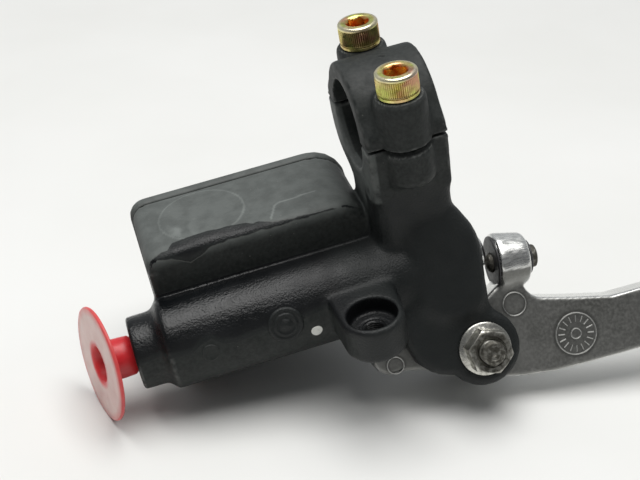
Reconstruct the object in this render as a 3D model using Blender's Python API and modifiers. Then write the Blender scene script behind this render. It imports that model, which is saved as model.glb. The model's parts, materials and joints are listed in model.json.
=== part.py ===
"""Front brake master cylinder for a 22 mm handlebar: cast body with reservoir, clamp, lever and internals.

Origin: centre of the handlebar bore, halfway along the clamp.
+X runs along the handlebar towards the lever tip, +Z along the clamp screws towards the rider,
+Y towards the reservoir lid. Dimensions are in millimetres; MM turns them into metres.
"""

import math

import bmesh
import bpy
from mathutils import Matrix, Vector

MM = 0.001
FACETS = 32
BORE_FACETS = 24

# Handlebar clamp
BAR_RADIUS = 11.0
CLAMP_HALF_WIDTH = 9.85
CLAMP_RADIUS = 15.2
SPLIT_HALF_GAP = 0.25
SCREW_Y = 14.9
SCREW_RADIUS = 3.0
SCREW_HEAD_RADIUS = 5.0
SCREW_HEAD_HEIGHT = 6.0
SCREW_LENGTH = 20.0
SEAT_Z = 12.3
COLUMN_RADIUS = 6.3
COLUMN_DEPTH = 10.4
SEAT_GAP = 0.15
THREAD_GAP = 0.1

# Cylinder
BORE_Y = -12.0
BORE_Z = -38.5
BORE_RADIUS = 7.0
BORE_END_X = -58.0
MOUTH_X = 11.9
TUBE_RADIUS = 11.2
TUBE_END_X = -66.0
STUB_RADIUS = 9.05
STUB_END_X = -73.5
PORT_RADIUS = 4.5
PORT_DEPTH = 11.5
RUNNING_GAP = 0.05

# Reservoir
TUB_LEFT_X = -65.2
TUB_RIGHT_X = -9.0
TUB_REAR_Z = -16.6
TUB_FRONT_Z = -57.2
TUB_FLOOR_Y = -7.5
TUB_RIM_Y = 17.7
TUB_WALL = 2.6
CAVITY_FLOOR_Y = 2.0
LID_OVERHANG = 0.4
LID_LOW_Y = 18.35
LID_TOP_Y = 21.0
RIM_GAP = 0.15
LID_SCREW_X = (-59.6, -13.2)
LID_SCREW_RADIUS = 2.0
LID_SCREW_HEAD_RADIUS = 3.8

# Lever pivot: the lever plane holds the handlebar direction and leans back from the clamp screws
PIVOT_X = 7.96
PIVOT_DROP = 21.8
LEVER_TILT = math.radians(27.5)
LEVER_HALF_THICKNESS = 4.2
HUB_HALF_THICKNESS = 4.5
HUB_RADIUS = 8.4
SLOT_HALF_WIDTH = 4.8
EAR_HALF_WIDTH = 10.3
SHOULDER_HALF_WIDTH = 11.7
EAR_RADIUS = 9.6
PIVOT_BOLT_RADIUS = 3.0
BUSH_RADIUS = 4.6
HEX_RADIUS = 5.0 / math.cos(math.pi / 6)
NUT_FLANGE_RADIUS = 6.6

# Lever barrel and its adjuster, in the lever plane
BARREL_U = 10.0
BARREL_V = 17.9
BARREL_LEAN = math.radians(-6.7)
BARREL_LENGTH = 8.6
BARREL_RADII = (7.6, 6.4)
BARREL_BORE_RADIUS = 5.2
BARREL_BORE_DEPTH = 6.6
BARREL_RECESS_RADIUS = 9.4
ADJUSTER_RADIUS = 2.5
ADJUSTER_REACH = 1.7

# Switch boss
SWITCH_X = -18.2
SWITCH_Y = -31.7
SWITCH_TOP_Z = -32.0
SWITCH_LOW_Z = -41.5
SWITCH_BOSS_RADIUS = 7.7
SWITCH_RECESS_RADIUS = 6.0
SWITCH_RECESS_DEPTH = 4.5
SWITCH_HOLE_RADIUS = 3.0

# Transport plug
PLUG_FLANGE_X = -81.9
PLUG_FLANGE_RADIUS = 14.3
PLUG_SKEW = math.radians(17.0)

MATERIALS = {
    "black_casting": ((0.035, 0.037, 0.038, 1.0), 0.55, 0.0),
    "yellow_zinc": ((0.72, 0.55, 0.25, 1.0), 0.3, 1.0),
    "cast_aluminium": ((0.55, 0.55, 0.54, 1.0), 0.4, 1.0),
    "plated_steel": ((0.5, 0.49, 0.46, 1.0), 0.4, 1.0),
    "spring_steel": ((0.35, 0.36, 0.38, 1.0), 0.3, 1.0),
    "bronze": ((0.6, 0.42, 0.2, 1.0), 0.35, 1.0),
    "black_rubber": ((0.02, 0.02, 0.02, 1.0), 0.7, 0.0),
    "dark_plastic": ((0.05, 0.05, 0.055, 1.0), 0.5, 0.0),
    "red_plastic": ((0.75, 0.09, 0.1, 1.0), 0.35, 0.0),
    "white_plastic": ((0.8, 0.8, 0.78, 1.0), 0.45, 0.0),
}

# Handlebar direction, then the lever plane's own directions
ALONG = Vector((1.0, 0.0, 0.0))
TOWARDS_BAR = Vector((0.0, math.sin(LEVER_TILT), math.cos(LEVER_TILT)))
PIVOT_DIRECTION = ALONG.cross(TOWARDS_BAR)


def clear_scene():
    for item in list(bpy.data.objects):
        bpy.data.objects.remove(item, do_unlink=True)


def make_material(name):
    colour, roughness, metallic = MATERIALS[name]
    material = bpy.data.materials.new(name)
    material.use_nodes = True
    shader = material.node_tree.nodes["Principled BSDF"]
    shader.inputs["Base Color"].default_value = colour
    shader.inputs["Roughness"].default_value = roughness
    shader.inputs["Metallic"].default_value = metallic
    return material


def frame_at(point, direction):
    """Matrix whose local Z is the direction, at a point in millimetres."""
    turn = Vector((0.0, 0.0, 1.0)).rotation_difference(Vector(direction))
    return Matrix.Translation(Vector(point) * MM) @ turn.to_matrix().to_4x4()


def bore_frame():
    """Local Z runs along the cylinder bore, so a turned profile's height is its place along X."""
    return frame_at((0.0, BORE_Y, BORE_Z), ALONG)


def pivot_point():
    return Vector((PIVOT_X, BORE_Y, BORE_Z)) - TOWARDS_BAR * PIVOT_DROP


def lever_frame():
    """Local X is along the handlebar, local Y towards it, local Z along the pivot bolt."""
    turn = Matrix((ALONG, TOWARDS_BAR, PIVOT_DIRECTION)).transposed()
    return Matrix.Translation(pivot_point() * MM) @ turn.to_4x4()


def barrel_frame():
    """Local Z runs along the lever's barrel, away from the piston."""
    lean = Vector((math.cos(BARREL_LEAN), math.sin(BARREL_LEAN), 0.0))
    return lever_frame() @ frame_at((BARREL_U, BARREL_V, 0.0), lean)


def plan_frame(height):
    """Local X along the handlebar, local Y away from the rider, extruded towards the lid."""
    turn = Matrix((Vector((1, 0, 0)), Vector((0, 0, -1)), Vector((0, 1, 0)))).transposed()
    return Matrix.Translation((0.0, height * MM, 0.0)) @ turn.to_4x4()


def side_frame():
    """Local X towards the lid, local Y towards the rider, extruded along the handlebar."""
    turn = Matrix((Vector((0, 1, 0)), Vector((0, 0, 1)), Vector((1, 0, 0)))).transposed()
    return turn.to_4x4()


class Part:
    """The collections and materials that the pieces share."""

    def __init__(self):
        self.pieces = bpy.data.collections.new("brake_master_cylinder")
        self.cutters = bpy.data.collections.new("cutters")
        bpy.context.scene.collection.children.link(self.pieces)
        bpy.context.scene.collection.children.link(self.cutters)
        self.materials = {name: make_material(name) for name in MATERIALS}

    def place(self, name, mesh, matrix):
        item = bpy.data.objects.new(name, mesh)
        item.matrix_world = matrix
        self.pieces.objects.link(item)
        return item

    def finish(self, item, material, parent=None, smooth_degrees=35.0):
        item.data.materials.clear()
        item.data.materials.append(self.materials[material])
        item.data.shade_smooth()
        item.data.set_sharp_from_angle(angle=math.radians(smooth_degrees))
        if parent:
            world = item.matrix_world.copy()
            item.parent = parent
            item.matrix_parent_inverse = parent.matrix_world.inverted()
            item.matrix_world = world
        return item

    def park(self, tool):
        """A tool shape only feeds a Boolean, so it is drawn as wire and never rendered."""
        self.pieces.objects.unlink(tool)
        self.cutters.objects.link(tool)
        tool.hide_render = True
        tool.display_type = "WIRE"

    def combine(self, target, tools, operation):
        for tool in tools:
            step = target.modifiers.new(f"{operation} {tool.name}", "BOOLEAN")
            step.operation = operation
            step.solver = "EXACT"
            step.object = tool
            self.park(tool)

    def join(self, target, *tools):
        self.combine(target, tools, "UNION")

    def cut(self, target, *tools):
        self.combine(target, tools, "DIFFERENCE")

    def cylinder(self, name, radius, low, high, matrix, facets=FACETS, top_radius=None):
        """A cylinder or cone along the frame's local Z, from low to high."""
        shape = bmesh.new()
        bmesh.ops.create_cone(
            shape,
            cap_ends=True,
            segments=facets,
            radius1=radius * MM,
            radius2=(radius if top_radius is None else top_radius) * MM,
            depth=(high - low) * MM,
        )
        mesh = bpy.data.meshes.new(name)
        shape.to_mesh(mesh)
        shape.free()
        middle = Matrix.Translation((0.0, 0.0, (low + high) / 2 * MM))
        return self.place(name, mesh, matrix @ middle)

    def box(self, name, low, high):
        shape = bmesh.new()
        bmesh.ops.create_cube(shape, size=1.0)
        size = [(b - a) * MM for a, b in zip(low, high)]
        bmesh.ops.scale(shape, vec=size, verts=shape.verts)
        mesh = bpy.data.meshes.new(name)
        shape.to_mesh(mesh)
        shape.free()
        middle = Matrix.Translation([(a + b) / 2 * MM for a, b in zip(low, high)])
        return self.place(name, mesh, middle)

    def ball(self, name, radius, matrix):
        shape = bmesh.new()
        bmesh.ops.create_uvsphere(shape, u_segments=16, v_segments=9, radius=radius * MM)
        mesh = bpy.data.meshes.new(name)
        shape.to_mesh(mesh)
        shape.free()
        return self.place(name, mesh, matrix)

    def turned(self, name, profile, matrix, closed=False, facets=FACETS):
        """Turns (radius, height) points about local Z; the outer side runs from the top down."""
        points = [(radius * MM, 0.0, height * MM) for radius, height in profile]
        edges = [(i, i + 1) for i in range(len(points) - 1)]
        if closed:
            edges.append((len(points) - 1, 0))
        mesh = bpy.data.meshes.new(name)
        mesh.from_pydata(points, edges, [])
        item = self.place(name, mesh, matrix)
        turn = item.modifiers.new("Turn", "SCREW")
        turn.axis = "Z"
        turn.angle = math.tau
        turn.steps = facets
        turn.render_steps = facets
        turn.use_merge_vertices = True
        turn.merge_threshold = 0.00001
        return item

    def plate(self, name, outline, low, high, matrix):
        """A flat outline extruded along the frame's local Z, from low to high."""
        curve = bpy.data.curves.new(name, "CURVE")
        curve.dimensions = "2D"
        curve.fill_mode = "BOTH"
        curve.extrude = (high - low) / 2 * MM
        spline = curve.splines.new("POLY")
        spline.points.add(len(outline) - 1)
        for point, (x, y) in zip(spline.points, outline):
            point.co = (x * MM, y * MM, 0.0, 1.0)
        spline.use_cyclic_u = True
        middle = Matrix.Translation((0.0, 0.0, (low + high) / 2 * MM))
        drawn = self.place(name + "_outline", curve, matrix @ middle)
        bpy.context.view_layer.update()
        evaluated = drawn.evaluated_get(bpy.context.evaluated_depsgraph_get())
        mesh = bpy.data.meshes.new_from_object(evaluated)
        shape = bmesh.new()
        shape.from_mesh(mesh)
        bmesh.ops.remove_doubles(shape, verts=shape.verts, dist=0.000005)
        bmesh.ops.dissolve_limit(shape, angle_limit=0.001, verts=shape.verts, edges=shape.edges)
        shape.to_mesh(mesh)
        shape.free()
        item = self.place(name, mesh, drawn.matrix_world.copy())
        bpy.data.objects.remove(drawn, do_unlink=True)
        return item


def bevel(item, width, segments=2, degrees=40.0):
    step = item.modifiers.new("Rounded edges", "BEVEL")
    step.width = width * MM
    step.segments = segments
    step.limit_method = "ANGLE"
    step.angle_limit = math.radians(degrees)
    return item


def arc(centre, radius, start, end, steps):
    """Points on an arc, in degrees, both ends included."""
    points = []
    for i in range(steps + 1):
        angle = math.radians(start + (end - start) * i / steps)
        x = centre[0] + radius * math.cos(angle)
        y = centre[1] + radius * math.sin(angle)
        points.append((x, y))
    return points


def rounded_plan(inset, radii=(4.0, 9.5, 9.0, 6.0)):
    """Reservoir outline in plan, seen along Y, moved in from the tub's outer face.

    radii are for the rear left, rear right, front right and front left corners.
    """
    left = TUB_LEFT_X + inset
    right = TUB_RIGHT_X - inset
    rear = -TUB_REAR_Z + inset
    front = -TUB_FRONT_Z - inset
    rear_left, rear_right, front_right, front_left = [max(r - inset, 1.0) for r in radii]
    outline = arc((right - rear_right, rear + rear_right), rear_right, -90, 0, 5)
    outline += arc((right - front_right, front - front_right), front_right, 0, 90, 4)
    outline += arc((left + front_left, front - front_left), front_left, 90, 180, 3)
    outline += arc((left + rear_left, rear + rear_left), rear_left, 180, 270, 4)
    return outline


def bellows_plan(inset):
    """Outline in plan of the diaphragm's pocket, moved in from its outer face."""
    left, right, rear, front = (-53.6 + inset, -19.2 - inset, 23.2 + inset, 52.4 - inset)
    radius = 4.0 - inset
    outline = arc((right - radius, rear + radius), radius, -90, 0, 3)
    outline += arc((right - radius, front - radius), radius, 0, 90, 3)
    outline += arc((left + radius, front - radius), radius, 90, 180, 3)
    outline += arc((left + radius, rear + radius), radius, 180, 270, 3)
    return outline


def clamp_half_cap():
    """Upper clamp half seen along the handlebar: a ring with square shoulders at the split."""
    shoulder = 16.8
    outline = [(shoulder, SPLIT_HALF_GAP), (shoulder, 3.2)]
    outline += arc((0.0, 0.0), CLAMP_RADIUS, 26, 154, 12)
    outline += [(-shoulder, 3.2), (-shoulder, SPLIT_HALF_GAP)]
    start = 180 - math.degrees(math.asin(SPLIT_HALF_GAP / BAR_RADIUS))
    outline += arc((0.0, 0.0), BAR_RADIUS, start, 180 - start, 16)
    return outline


def clamp_half_body():
    """Lower clamp half and the top of the neck, seen along the handlebar."""
    outline = [(-16.8, -SPLIT_HALF_GAP), (-16.9, -3.0), (-16.4, -8.0), (-16.3, -14.0), (-14.0, -16.2)]
    outline += [(4.0, -15.6), (6.4, -14.9), (11.0, -13.4), (14.0, -11.6)]
    outline += [(16.3, -8.2), (17.2, -4.7), (17.2, -SPLIT_HALF_GAP)]
    start = math.degrees(math.asin(SPLIT_HALF_GAP / BAR_RADIUS))
    outline += arc((0.0, 0.0), BAR_RADIUS, -start, -180 + start, 16)
    return outline


def ear_block_outline():
    """Outer outline of the fork in the lever plane, from the pivot ear up to the neck."""
    outline = arc((0.0, 0.0), EAR_RADIUS, -150, 62, 13)
    outline += [(4.6, 11.5), (5.3, 16.0), (5.9, 20.0), (6.1, 24.0), (5.9, 27.5)]
    outline += [(5.1, 30.4), (3.9, 32.8), (2.6, 35.4), (0.5, 37.0)]
    outline += [(-11.0, 37.0), (-12.2, 33.0), (-12.3, 28.0), (-12.6, 22.0), (-15.0, 16.5)]
    outline += [(-18.0, 12.0), (-18.2, 6.0), (-16.6, 0.6), (-14.0, -2.2), (-11.5, -3.7)]
    return outline


def shoulder_outline():
    """Thicker upper part of the fork, which swallows the cylinder behind the lever's barrel."""
    outline = [(-13.6, 12.2), (-9.0, 8.2), (-2.0, 7.2), (3.2, 8.6), (4.5, 11.5), (5.2, 16.0)]
    outline += [(5.8, 20.0), (6.0, 24.0), (5.8, 27.5), (5.0, 30.4), (3.8, 32.8), (2.5, 35.4)]
    outline += [(-1.0, 37.6), (-9.0, 37.6), (-12.1, 33.0), (-12.2, 28.0), (-12.5, 22.0), (-14.0, 16.5)]
    return outline


def slot_outline():
    """Gap between the fork ears, open downwards and to both sides."""
    return [(-40.0, -20.0), (20.0, -20.0), (20.0, 13.2), (2.5, 13.2), (-1.0, 10.3), (-40.0, 10.3)]


def lever_outline():
    """Lever blank in the lever plane: tail, hub, neck to the barrel, blade and tip."""
    neck = [(8.6, 12.5), (15.2, 13.0), (15.3, 11.0), (15.8, 9.5), (16.8, 7.9), (18.4, 6.7)]
    blade_bar_side = [(27.0, 4.2), (37.0, 1.6), (50.0, 1.2), (70.0, 1.1), (90.0, 1.9)]
    blade_bar_side += [(110.0, 3.9), (130.0, 7.2), (146.0, 10.8), (156.0, 13.6)]
    tip = arc((160.0, 7.4), 6.8, 95, -75, 6)
    blade_far_side = [(152.0, -0.2), (138.0, -4.4), (120.0, -8.6), (100.0, -11.6), (80.0, -13.2)]
    blade_far_side += [(60.0, -13.8), (41.0, -13.6), (28.0, -13.2), (18.0, -12.7), (9.0, -11.3), (4.0, -9.9)]
    tail = [(-3.5, -7.8), (-10.9, -5.0), (-14.2, -2.6), (-19.8, -1.1), (-23.5, -1.1)]
    tail += [(-25.8, 0.6), (-26.4, 2.8), (-25.2, 4.9), (-22.0, 5.4), (-15.0, 5.2), (-8.0, 6.6)]
    outline = neck + blade_bar_side + tip + blade_far_side + tail + [(-3.0, 8.4), (3.5, 9.4)]
    return outline[::-1]


def switch_boss_outline():
    """Switch boss seen along Z: a half round in front, straight sides back into the cylinder."""
    outline = arc((SWITCH_X, SWITCH_Y), SWITCH_BOSS_RADIUS, 180, 360, 12)
    outline += [(SWITCH_X + SWITCH_BOSS_RADIUS + 0.6, -20.0), (SWITCH_X - SWITCH_BOSS_RADIUS - 0.6, -20.0)]
    return outline


def body_casting(part):
    bore = bore_frame()
    lever = lever_frame()
    world = Matrix.Identity(4)
    body = part.turned(
        "body_casting",
        [
            (0.0, MOUTH_X),
            (TUBE_RADIUS, MOUTH_X),
            (TUBE_RADIUS, TUBE_END_X + 0.6),
            (TUBE_RADIUS - 0.6, TUBE_END_X),
            (STUB_RADIUS, TUBE_END_X - 1.2),
            (STUB_RADIUS, STUB_END_X + 0.5),
            (STUB_RADIUS - 0.5, STUB_END_X),
            (0.0, STUB_END_X),
        ],
        bore,
    )
    tub = part.plate("tub_block", rounded_plan(0.0), TUB_FLOOR_Y, TUB_RIM_Y + 3.0, plan_frame(0.0))
    bevel(tub, 1.6, 2)
    part.cut(tub, part.box("above_rim", (-90.0, TUB_RIM_Y, -80.0), (10.0, TUB_RIM_Y + 9.0, 0.0)))
    clamp = part.plate(
        "clamp_half", clamp_half_body(), -CLAMP_HALF_WIDTH, CLAMP_HALF_WIDTH, side_frame()
    )
    neck = part.box("neck", (-9.75, -16.2, -36.0), (9.6, 6.3, -10.0))
    bevel(neck, 3.0, 3)
    fork = part.plate("fork", ear_block_outline(), -EAR_HALF_WIDTH, EAR_HALF_WIDTH, lever)
    bevel(fork, 1.6, 2)
    shoulder = part.plate(
        "shoulder", shoulder_outline(), -SHOULDER_HALF_WIDTH, SHOULDER_HALF_WIDTH, lever
    )
    bevel(shoulder, 3.2, 3)
    columns = []
    for side in (-1, 1):
        place = Matrix.Translation((0.0, side * SCREW_Y * MM, 0.0))
        column = part.cylinder(f"column_{side}", COLUMN_RADIUS, -COLUMN_DEPTH, -SPLIT_HALF_GAP, place, 24)
        columns.append(bevel(column, 1.2, 1))
    boss = part.plate("switch_boss", switch_boss_outline(), SWITCH_LOW_Z, SWITCH_TOP_Z, world)
    bevel(boss, 1.0, 2)
    sight_disc = part.cylinder(
        "sight_disc", 10.8, -1.0, 0.4, frame_at((-48.6, 5.4, TUB_REAR_Z), (0, 0, 1)), 32
    )
    part.join(body, tub, neck, clamp, fork, shoulder, *columns, boss, sight_disc)
    cut_reservoir(part, body)
    cut_cylinder(part, body)
    cut_fork(part, body)
    for side in (-1, 1):
        place = Matrix.Translation((0.0, side * SCREW_Y * MM, 0.0))
        depth = SEAT_Z - SCREW_LENGTH - 1.2
        part.cut(
            body,
            part.cylinder(f"screw_hole_{side}", SCREW_RADIUS + THREAD_GAP, depth, 2.0, place, 16),
        )
    return part.finish(body, "black_casting")


def cut_reservoir(part, body):
    """Hollow tub with a post at each end for the lid screws."""
    top = TUB_RIM_Y + 5.0
    hollow = part.plate("tub_hollow", rounded_plan(TUB_WALL), CAVITY_FLOOR_Y, top, plan_frame(0.0))
    for i, x in enumerate(LID_SCREW_X):
        post = part.cylinder(
            f"post_space_{i}", 3.7, CAVITY_FLOOR_Y - 2.0, TUB_RIM_Y + 8.0, lid_screw_frame(x), 20
        )
        part.cut(hollow, post)
    part.cut(body, hollow)
    for i, x in enumerate(LID_SCREW_X):
        hole = part.cylinder(
            f"post_hole_{i}", LID_SCREW_RADIUS + THREAD_GAP, 6.0, TUB_RIM_Y + 6.0, lid_screw_frame(x), 12
        )
        part.cut(body, hole)
    for name, x, radius in (("supply_port", -17.8, 1.5), ("relief_port", -27.6, 0.6)):
        low = BORE_Y + BORE_RADIUS - 1.0
        drill = part.cylinder(name, radius, low, CAVITY_FLOOR_Y + 1.0, lid_screw_frame(x), 12)
        part.cut(body, drill)


def cut_cylinder(part, body):
    """Bore with its circlip groove, hose port and the passage between them."""
    groove = (9.9, 11.0)
    bore = part.turned(
        "bore",
        [
            (0.0, MOUTH_X + 1.0),
            (BORE_RADIUS, MOUTH_X + 1.0),
            (BORE_RADIUS, groove[1]),
            (BORE_RADIUS + 0.7, groove[1]),
            (BORE_RADIUS + 0.7, groove[0]),
            (BORE_RADIUS, groove[0]),
            (BORE_RADIUS, BORE_END_X),
            (1.6, BORE_END_X - 1.0),
            (1.6, STUB_END_X + PORT_DEPTH),
            (PORT_RADIUS, STUB_END_X + PORT_DEPTH + 0.01),
            (PORT_RADIUS, STUB_END_X + 0.8),
            (PORT_RADIUS + 0.9, STUB_END_X - 0.1),
            (PORT_RADIUS + 0.9, STUB_END_X - 1.0),
            (0.0, STUB_END_X - 1.0),
        ],
        bore_frame(),
        facets=BORE_FACETS,
    )
    part.cut(body, bore)


def cut_fork(part, body):
    lever = lever_frame()
    slot = part.plate("slot", slot_outline(), -SLOT_HALF_WIDTH, SLOT_HALF_WIDTH, lever)
    recess = part.cylinder(
        "barrel_recess",
        BARREL_RECESS_RADIUS,
        MOUTH_X - PIVOT_X,
        30.0,
        lever @ frame_at((0, BARREL_V, 0), ALONG),
    )
    pivot_hole = part.cylinder("pivot_hole", PIVOT_BOLT_RADIUS + THREAD_GAP, -20.0, 20.0, lever, 16)
    switch = frame_at((SWITCH_X, SWITCH_Y, SWITCH_TOP_Z), (0, 0, 1))
    switch_recess = part.cylinder(
        "switch_recess", SWITCH_RECESS_RADIUS, -SWITCH_RECESS_DEPTH, 2.0, switch, 32
    )
    switch_hole = part.cylinder("switch_hole", SWITCH_HOLE_RADIUS, -12.0, 1.0, switch, 20)
    part.cut(body, slot, recess, pivot_hole, switch_recess, switch_hole)


def clamp_cap(part):
    cap = part.plate(
        "clamp_cap", clamp_half_cap(), -CLAMP_HALF_WIDTH, CLAMP_HALF_WIDTH, side_frame()
    )
    top = SEAT_Z - SEAT_GAP
    for side in (-1, 1):
        place = Matrix.Translation((0.0, side * SCREW_Y * MM, 0.0))
        boss = part.cylinder(f"cap_boss_{side}", COLUMN_RADIUS, SPLIT_HALF_GAP, top, place, 24)
        part.join(cap, boss)
    bar = part.cylinder("bar_space", BAR_RADIUS, -20.0, 20.0, frame_at((0, 0, 0), ALONG), FACETS)
    part.cut(cap, bar)
    for side in (-1, 1):
        place = Matrix.Translation((0.0, side * SCREW_Y * MM, 0.0))
        hole = part.cylinder(f"cap_hole_{side}", SCREW_RADIUS + THREAD_GAP, -1.0, 30.0, place, 16)
        head_room = part.cylinder(f"head_room_{side}", SCREW_HEAD_RADIUS + 0.4, top, 30.0, place, 24)
        part.cut(cap, hole, head_room)
    return part.finish(cap, "black_casting")


def clamp_screws(part):
    """Socket cap screws, one through each end of the clamp cap."""
    for number, side in ((1, 1), (2, -1)):
        place = Matrix.Translation((0.0, side * SCREW_Y * MM, SEAT_Z * MM))
        head_edge = SCREW_HEAD_RADIUS - 0.5
        screw = part.turned(
            f"clamp_screw_{number}",
            [
                (0.0, SCREW_HEAD_HEIGHT),
                (head_edge, SCREW_HEAD_HEIGHT),
                (SCREW_HEAD_RADIUS, SCREW_HEAD_HEIGHT - 0.5),
                (SCREW_HEAD_RADIUS, 0.0),
                (SCREW_RADIUS, 0.0),
                (SCREW_RADIUS, 0.6 - SCREW_LENGTH),
                (SCREW_RADIUS - 0.6, -SCREW_LENGTH),
                (0.0, -SCREW_LENGTH),
            ],
            place,
            facets=24,
        )
        socket = part.cylinder(
            f"socket_{number}", 2.5 / math.cos(math.pi / 6), SCREW_HEAD_HEIGHT - 3.0, 10.0, place, 6
        )
        part.cut(screw, socket)
        part.finish(screw, "yellow_zinc")


def lid_screw_frame(x):
    """Local Z runs towards the lid, and its height is measured from the handlebar centre."""
    return frame_at((x, 0.0, BORE_Z), (0, 1, 0))


def reservoir_cover(part):
    """Lid, the plate under it and the rubber diaphragm, held by two countersunk screws."""
    lid = part.plate(
        "reservoir_lid", rounded_plan(-LID_OVERHANG), LID_LOW_Y, LID_TOP_Y, plan_frame(0.0)
    )
    bevel(lid, 0.9, 2)
    pocket = (-55.4, -17.4, -54.0, -21.6)
    recess = part.box(
        "lid_recess", (pocket[0], LID_LOW_Y - 1.0, pocket[2]), (pocket[1], LID_LOW_Y + 1.2, pocket[3])
    )
    part.cut(lid, recess)
    plate = part.box(
        "diaphragm_plate",
        (pocket[0] + 0.4, LID_LOW_Y + RIM_GAP, pocket[2] + 0.4),
        (pocket[1] - 0.4, LID_LOW_Y + 1.05, pocket[3] - 0.4),
    )
    diaphragm = part.plate(
        "reservoir_diaphragm", rounded_plan(1.3), TUB_RIM_Y + RIM_GAP, LID_LOW_Y - RIM_GAP, plan_frame(0.0)
    )
    bellows = part.plate("bellows", bellows_plan(0.0), 8.8, TUB_RIM_Y + 0.4, plan_frame(0.0))
    inside = part.plate("bellows_inside", bellows_plan(0.8), 9.6, TUB_RIM_Y + 4.0, plan_frame(0.0))
    part.join(diaphragm, bellows)
    part.cut(diaphragm, inside)
    for i, x in enumerate(LID_SCREW_X):
        place = lid_screw_frame(x)
        part.cut(
            diaphragm,
            part.cylinder(f"diaphragm_hole_{i}", LID_SCREW_RADIUS + 0.4, 12.0, 22.0, place, 12),
        )
        part.cut(lid, part.cylinder(f"lid_hole_{i}", LID_SCREW_RADIUS + 0.2, 12.0, 22.0, place, 12))
        head_low = LID_TOP_Y - 2.2
        countersink = part.cylinder(
            f"countersink_{i}", LID_SCREW_RADIUS + 0.2, head_low, LID_TOP_Y + 0.2, place, 24,
            top_radius=LID_SCREW_HEAD_RADIUS + 0.4,
        )
        part.cut(lid, countersink)
        screw = part.turned(
            f"lid_screw_{i + 1}",
            [
                (0.0, LID_TOP_Y - 0.1),
                (LID_SCREW_HEAD_RADIUS - 0.1, LID_TOP_Y - 0.1),
                (LID_SCREW_RADIUS, head_low),
                (LID_SCREW_RADIUS, 7.6),
                (LID_SCREW_RADIUS - 0.5, 7.0),
                (0.0, 7.0),
            ],
            place,
            facets=20,
        )
        for turn in (0, 90):
            wide = Matrix.Rotation(math.radians(turn), 4, "Z") @ Matrix.Diagonal((4.0, 1.0, 1.0, 1.0))
            slot = part.cylinder(
                f"cross_{i}_{turn}", 0.55, LID_TOP_Y - 1.4, LID_TOP_Y + 1.0, place @ wide, 12
            )
            part.cut(screw, slot)
        part.finish(screw, "plated_steel")
    part.finish(lid, "black_casting")
    part.finish(plate, "white_plastic")
    part.finish(diaphragm, "black_rubber")


def piston_group(part):
    """Piston with its two cups and spring seat, on an empty that lies on the bore axis."""
    axis = bpy.data.objects.new("bore_axis", None)
    axis.matrix_world = bore_frame()
    part.pieces.objects.link(axis)
    bore = bore_frame()
    land = BORE_RADIUS - RUNNING_GAP
    piston = part.turned(
        "piston",
        [
            (0.0, 15.96),
            (3.4, 15.96),
            (4.2, 15.2),
            (4.2, 8.6),
            (land, 8.6),
            (land, 5.2),
            (4.8, 5.2),
            (4.8, 2.0),
            (land, 2.0),
            (land, -0.5),
            (4.2, -1.0),
            (4.2, -19.5),
            (land, -20.0),
            (land, -22.5),
            (2.4, -22.5),
            (2.4, -25.6),
            (0.0, -25.6),
        ],
        bore,
        facets=BORE_FACETS,
    )
    primary_cup = part.turned(
        "primary_cup",
        [(2.7, -22.8), (land, -22.8), (land, -25.5), (land - 0.9, -25.5), (5.2, -24.0), (2.7, -24.0)],
        bore,
        closed=True,
        facets=BORE_FACETS,
    )
    secondary_cup = part.turned(
        "secondary_cup",
        [(5.1, 4.9), (land - 0.1, 4.9), (land, 2.3), (land - 0.7, 2.3), (5.8, 3.7), (5.1, 3.7)],
        bore,
        closed=True,
        facets=BORE_FACETS,
    )
    seat = part.turned(
        "spring_seat",
        [(0.0, -25.9), (5.6, -25.9), (5.6, -26.6), (3.6, -26.6), (3.2, -29.4), (0.0, -29.4)],
        bore,
        facets=24,
    )
    part.finish(piston, "cast_aluminium", axis)
    part.finish(primary_cup, "black_rubber", axis)
    part.finish(secondary_cup, "black_rubber", axis)
    part.finish(seat, "plated_steel", axis)


def return_spring(part):
    """Compression spring between the bore's closed end and the piston's spring seat."""
    wire_radius = 0.65
    coil_radius = 4.9
    turns = 7.0
    start = BORE_END_X + 0.3 + wire_radius
    end = -26.6 - 0.3 - wire_radius
    steps = 10 * int(turns)
    curve = bpy.data.curves.new("return_spring", "CURVE")
    curve.dimensions = "3D"
    curve.bevel_depth = wire_radius * MM
    curve.bevel_resolution = 2
    curve.use_fill_caps = True
    spline = curve.splines.new("POLY")
    spline.points.add(steps)
    for i, point in enumerate(spline.points):
        share = i / steps
        angle = math.tau * turns * share
        x = coil_radius * math.cos(angle) * MM
        y = coil_radius * math.sin(angle) * MM
        point.co = (x, y, (start + (end - start) * share) * MM, 1.0)
    spring = part.place("return_spring", curve, bore_frame())
    curve.materials.append(part.materials["spring_steel"])
    return spring


def bore_closure(part):
    """Washer, circlip and dust seal that keep the piston in the bore."""
    bore = bore_frame()
    profile = [(4.5, 9.7), (6.8, 9.7), (6.8, 8.9), (4.5, 8.9)]
    washer = part.turned("piston_washer", profile, bore, closed=True, facets=BORE_FACETS)
    part.finish(washer, "plated_steel")
    ring = arc((0.0, 0.0), 7.5, 25, 335, 20)
    ring += arc((0.0, 0.0), 5.8, 335, 325, 2)
    ring += arc((0.0, 0.0), 6.3, 320, 40, 18)
    ring += arc((0.0, 0.0), 5.8, 35, 25, 2)
    circlip = part.plate("circlip", ring, 10.0, 10.9, bore)
    part.finish(circlip, "spring_steel")
    profile = [(4.5, 12.3), (6.5, 12.3), (6.75, 11.9), (6.75, 11.2), (4.9, 11.2), (4.5, 11.7)]
    seal = part.turned("dust_seal", profile, bore, closed=True, facets=BORE_FACETS)
    part.finish(seal, "black_rubber")


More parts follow.
